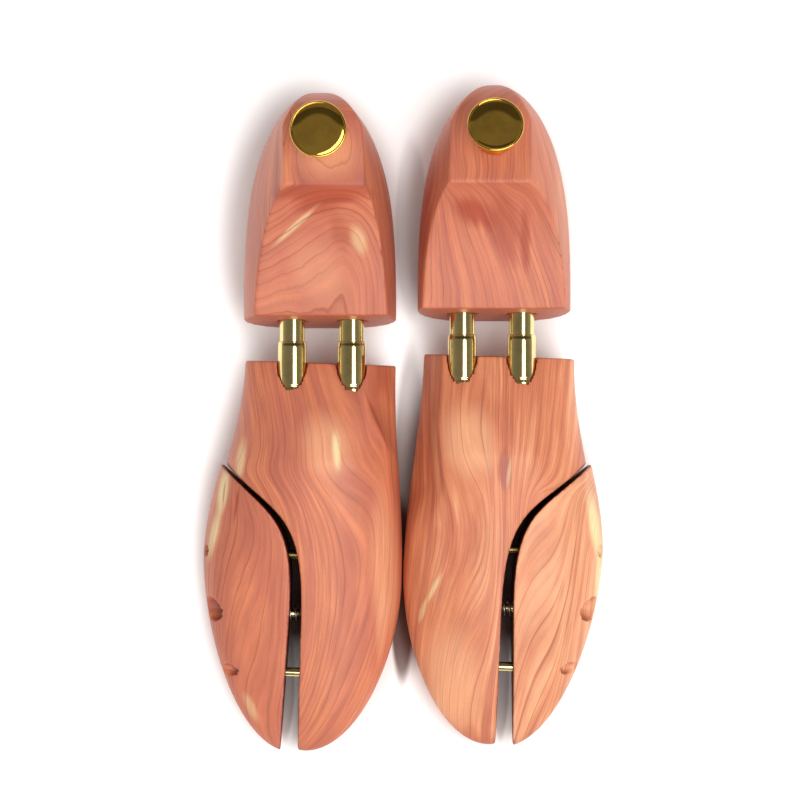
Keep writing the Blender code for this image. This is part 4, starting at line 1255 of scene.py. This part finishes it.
def floor_finish():
    """White sweep that reads as white and still takes the shadows near the pair."""
    finish = Finish(bpy.data.materials.new("white_sweep"))
    finish.nodes.remove(finish.shader)
    place = finish.place()
    clear = 1.0
    for print_oval in FOOTPRINTS:
        share = SHADE_REACH / min(print_oval[2:])
        clear = finish.step(oval(finish, place, *print_oval), 1.0, 1.0 + share) * clear
    tone = FLOOR_WHITE
    for *shade_oval, shade, amount in FLOOR_SHADES:
        dark = finish.step(oval(finish, place, *shade_oval), 1.0, SHADE_CORE) * amount
        tone = finish.blend(dark, tone, shade)
    seen = (finish.node("LightPath", output="Is Camera Ray")
            + finish.node("LightPath", output="Is Glossy Ray"))
    plain = finish.node("BsdfDiffuse", None, {"Color": tone})
    glow = finish.node("Emission", None, {"Strength": seen * (clear * FLOOR_GLOW)})
    both = finish.node("AddShader", None, {0: plain, 1: glow})
    finish.feed(finish.nodes["Material Output"], "Surface", both)
    return finish.owner


def make_room():
    """World: even white light for the wood, and a dim room in mirror reflections."""
    world = bpy.data.worlds.new("studio_room")
    bpy.context.scene.world = world
    room = Finish(world)
    room.nodes.clear()
    out = room.nodes.new("ShaderNodeOutputWorld")
    _, depth, height = room.split(room.node("TexCoord", output="Generated"))
    grey = room.blend(1.0, room.ramp(height, ROOM_HEIGHTS, ROOM_TINT),
                      room.ramp(depth, ROOM_DEPTHS, ROOM_TINT), "MULTIPLY")
    soft = room.node("Background", None, {"Color": FILL_TINT, "Strength": FILL_LIGHT})
    white = room.node("Background", None, {"Color": (1.0, 1.0, 1.0)})
    mirror = room.node("Background", None, {"Color": grey})
    seen = soft
    for ray, light in (("Is Camera Ray", white), ("Is Glossy Ray", mirror)):
        path = room.node("LightPath", output=ray)
        seen = room.node("MixShader", None, {0: path, 1: seen, 2: light})
    room.feed(out, "Surface", seen)


def make_stage():
    """White floor, studio room, key softbox and camera."""
    shape = bmesh.new()
    bmesh.ops.create_grid(shape, x_segments=2, y_segments=2, size=3.0)
    floor = new_object("floor", to_mesh(shape, "floor", Matrix.Identity(4)))
    floor.data.materials.append(floor_finish())
    key = bpy.data.lights.new("key_softbox", "AREA")
    key.shape = "RECTANGLE"
    key.size, key.size_y = SOFTBOX_SIZE
    key.energy = SOFTBOX_WATTS
    key.color = SOFTBOX_TINT
    lamp = new_object("key_softbox", key)
    lamp.location = SOFTBOX_AT
    lamp.rotation_euler = SOFTBOX_AT.to_track_quat("Z", "Y").to_euler()
    lamp.visible_camera = False
    make_room()
    camera = bpy.data.cameras.new("camera")
    camera.sensor_width = SENSOR
    camera.lens = FOCAL_PIXELS / PHOTO_PIXELS * SENSOR
    camera.clip_start, camera.clip_end = CAMERA_RANGE
    view = new_object("camera", camera)
    view.location = CAMERA_AT
    bpy.context.scene.camera = view
    bpy.context.scene.view_settings.view_transform = "Standard"


# Figure of each wooden piece, in millimetres of the world. Pith: x and z of the pith line.
# Swells: x, y, half sizes in x and y, height. Marks: x, y, z, half width, half length, turn
# in degrees, colour and amount.
FIGURES = {
    "left_fore": dict(
        pith=(-60.8, 7.7), lean=(0.042, 0.095), ring=1.4,
        seed=3.0, tint=0.60, strength=0.9, end_red=0.8,
        swells=[(39.1, -28.8, 12, 153, -11.82),
                (25.5, -48.5, 29.9, 64.1, -14.97),
                (60.5, -39.6, 8.7, 13.2, 25.31)],
        marks=[
            # The first mark here is pale wood on the instep hump, and partly a painted sheen where the
            # top faces the light
            (29.6, -8.7, 44, 15, 20, 10, PALE, 1.00), (44.8, -0.6, 42, 5, 16.3, 6, PURPLE, 0.30),
            (44.7, -20.4, 45, 4.1, 11.4, 2, LATE, 0.48), (44.7, -20.4, 45, 3.4, 10.2, 2, PURPLE, 0.85),
            (46.4, -21.7, 44, 1.2, 8.6, -6, SAP, 0.40), (15.7, -16.3, 39, 1.6, 25.7, 5, PALE, 0.60),
            (17.8, -17.3, 39, 1.1, 24.3, 5, PURPLE, 0.45), (14.9, -71.1, 32, 1.5, 9.6, -28, SAP, 0.60),
            (9.8, -81.4, 28, 1.4, 6.7, -15, SAP, 0.45), (3.3, -20.8, 16, 4.5, 51.9, -2, RED, 0.28),
            (30.2, -134.2, 16, 3.2, 5.6, 1, RED, 0.35), (23, -113, 25, 17, 33, 7, PALE, 0.78),
            (23, -50, 40, 16, 20, 10, PINK, 0.60), (44, -54.7, 39, 4.4, 28.7, -1, PURPLE, 0.28)]),
    "left_wing": dict(
        pith=(520.6, 111.4), lean=(0.144, 1.024), ring=1.5,
        seed=4.0, tint=0.70,
        swells=[(65.6, -23.5, 52.1, 5.5, 11.62), (72.8, -62.2, 26.4, 265.5, 20.87)],
        marks=[
            (83.9, -44.2, 24, 3.8, 21.1, 9, SAP, 1.00), (86.4, -69.8, 20, 3.2, 21.8, 0, SAP, 0.95),
            (57.3, -50.4, 39, 5, 12.2, -20, PURPLE, 0.22)]),
    "left_heel": dict(
        pith=(-8.5, -112.4), lean=(-0.457, 0.277), ring=1.2,
        seed=5.0, tint=0.43, strength=0.95, end_red=0.5,
        swells=[(23.3, 100, 34.5, 21.6, -7.75),
                (53.9, 93.8, 8.5, 18.5, -2.55),
                (12.6, 107, 7.5, 33.1, -8.42)],
        marks=[
            (31.3, 88.1, 62, 7.4, 11.8, 50, RED, 0.85), (53.1, 76.2, 57, 3.1, 19.3, 2, RED, 0.75),
            (9.6, 85.7, 52, 4.3, 40, -8, RED, 0.60), (44.8, 80.6, 58, 8.7, 22.6, 15, RED, 0.55),
            (67.8, 90, 47, 5, 39.7, 2, PALE, 0.30)]),
    "right_fore": dict(
        pith=(-196.4, 19), lean=(-0.159, -0.605), ring=1.8,
        seed=8.0, tint=0.48, strength=0.95, end_red=0.8,
        swells=[(-8, 27.1, 22, 189.8, -30.16),
                (-125.3, -21.3, 73.1, 10.8, 18.49),
                (-11.3, 0.8, 11.9, 51.2, 9.5)],
        marks=[
            # The second mark here is pale wood on the instep hump, and partly a painted sheen where the
            # top faces the light
            (-45.8, -17.2, 44, 16.2, 32.7, 4, PURPLE, 0.40), (-31.4, -10.5, 44, 14, 20, 3, PALE, 0.75),
            (-27.2, -11.9, 44, 2.6, 11.4, 4, SAP, 0.85), (-15.1, -0.7, 37, 8.8, 20.2, 27, PINK, 0.50),
            (-68.5, -16.8, 33, 2.8, 13.2, -8, SAP, 0.55), (-7.5, 21.3, 19, 5.1, 15.9, 4, RED, 0.40),
            (-9.8, -0.1, 30, 1, 18.7, 22, LATE, 0.55), (-22, -73.1, 35, 5.7, 27.4, 0, RED, 0.22),
            (-28, -48, 41, 11, 26.1, 9, RED, 0.20), (-6.6, -59.7, 29, 8.2, 46.5, 3, PALE, 0.55),
            (-7.5, -85.7, 24, 3.2, 23.5, -3, PALE, 0.40)]),
    "right_wing": dict(
        pith=(-318.4, -191.7), lean=(-0.133, 0.34), ring=1.1,
        seed=9.0, tint=0.42,
        swells=[(-52.3, -37.5, 43.5, 60.6, -15.77), (-46.9, -107, 48.2, 136.7, -34.76)],
        marks=[
            (-76.3, -29.9, 31, 3.2, 14.2, -9, SAP, 0.85), (-80.2, -48.1, 28, 2.9, 16.9, -12, SAP, 0.70),
            (-70.1, -35.5, 36, 0.8, 9.8, -9, RED, 0.75), (-75.9, -30.6, 30, 0.6, 7.5, -6, RED, 0.60),
            (-61.3, -54.8, 38, 10, 28.6, 2, PURPLE, 0.30),
            (-64.4, -123.5, 21, 2.9, 9.8, 25, SAP, 0.35)]),
    "right_heel": dict(
        pith=(-77.1, -70.4), lean=(0.426, -0.069), ring=1.6,
        seed=1.0, tint=0.43, strength=0.95, end_red=0.55,
        swells=[(-38.3, 114.6, 18.7, 42.7, -9.55),
                (-19, 121.2, 23, 65.3, -9.63),
                (-20.3, 57.8, 16.4, 68.9, -3.45)],
        marks=[
            (-30.7, 95.9, 69, 5.5, 30, 89, RED, 0.95), (-33.2, 92.7, 67, 7.4, 15.7, -85, RED, 0.70),
            (-43.6, 82.6, 60, 1.6, 15.4, -49, SAP, 0.55), (-17.2, 76.7, 57, 4.6, 9.1, 16, SAP, 0.40),
            (-61.3, 85.9, 52, 6.8, 40, -2, PURPLE, 0.35), (-30, 112, 73, 18, 15, 0, PALE, 0.55),
            (-24.9, 79.9, 59, 5.6, 10.4, 18, RED, 0.45),
            (-35.2, 64.2, 53, 13.7, 20.1, 34, PALE, 0.30)]),
}

TUBE_BRASS = brass("drawn_brass", (0.82, 0.66, 0.30), 0.05, 2.0)
KNOB_BRASS = brass("polished_brass", (0.88, 0.54, 0.10), 0.03, 6.0)
PIN_BRASS = brass("pin_brass", (0.80, 0.64, 0.32), 0.12, 9.0)
# Pin brass darkened as painted shade, for the rear pins deep in the saw cut where little light reaches
SHADED_PIN_BRASS = brass("shaded_pin_brass", (0.30, 0.20, 0.08), 0.25, 4.0)
SPRING_STEEL = steel("spring_wire")

make_stage()
for tree in SIDES:
    wood = (("fore", make_forepart_main, "foreparts", "_forepart_main"),
            ("wing", make_forepart_wing, tree + "_wing", "_forepart_wing"),
            ("heel", make_heel, tree + "_heel", "_heel_block"))
    for word, make, ridden, shown in wood:
        grain = cedar("%s_%s_cedar" % (tree, word), **FIGURES["%s_%s" % (tree, word)])
        settle(make(tree), grain, ridden, tree + shown)
    make_knob(tree)
    make_tubes(tree)
    make_guides(tree)
    dress(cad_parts[tree + "_knob_stud"], PIN_BRASS)
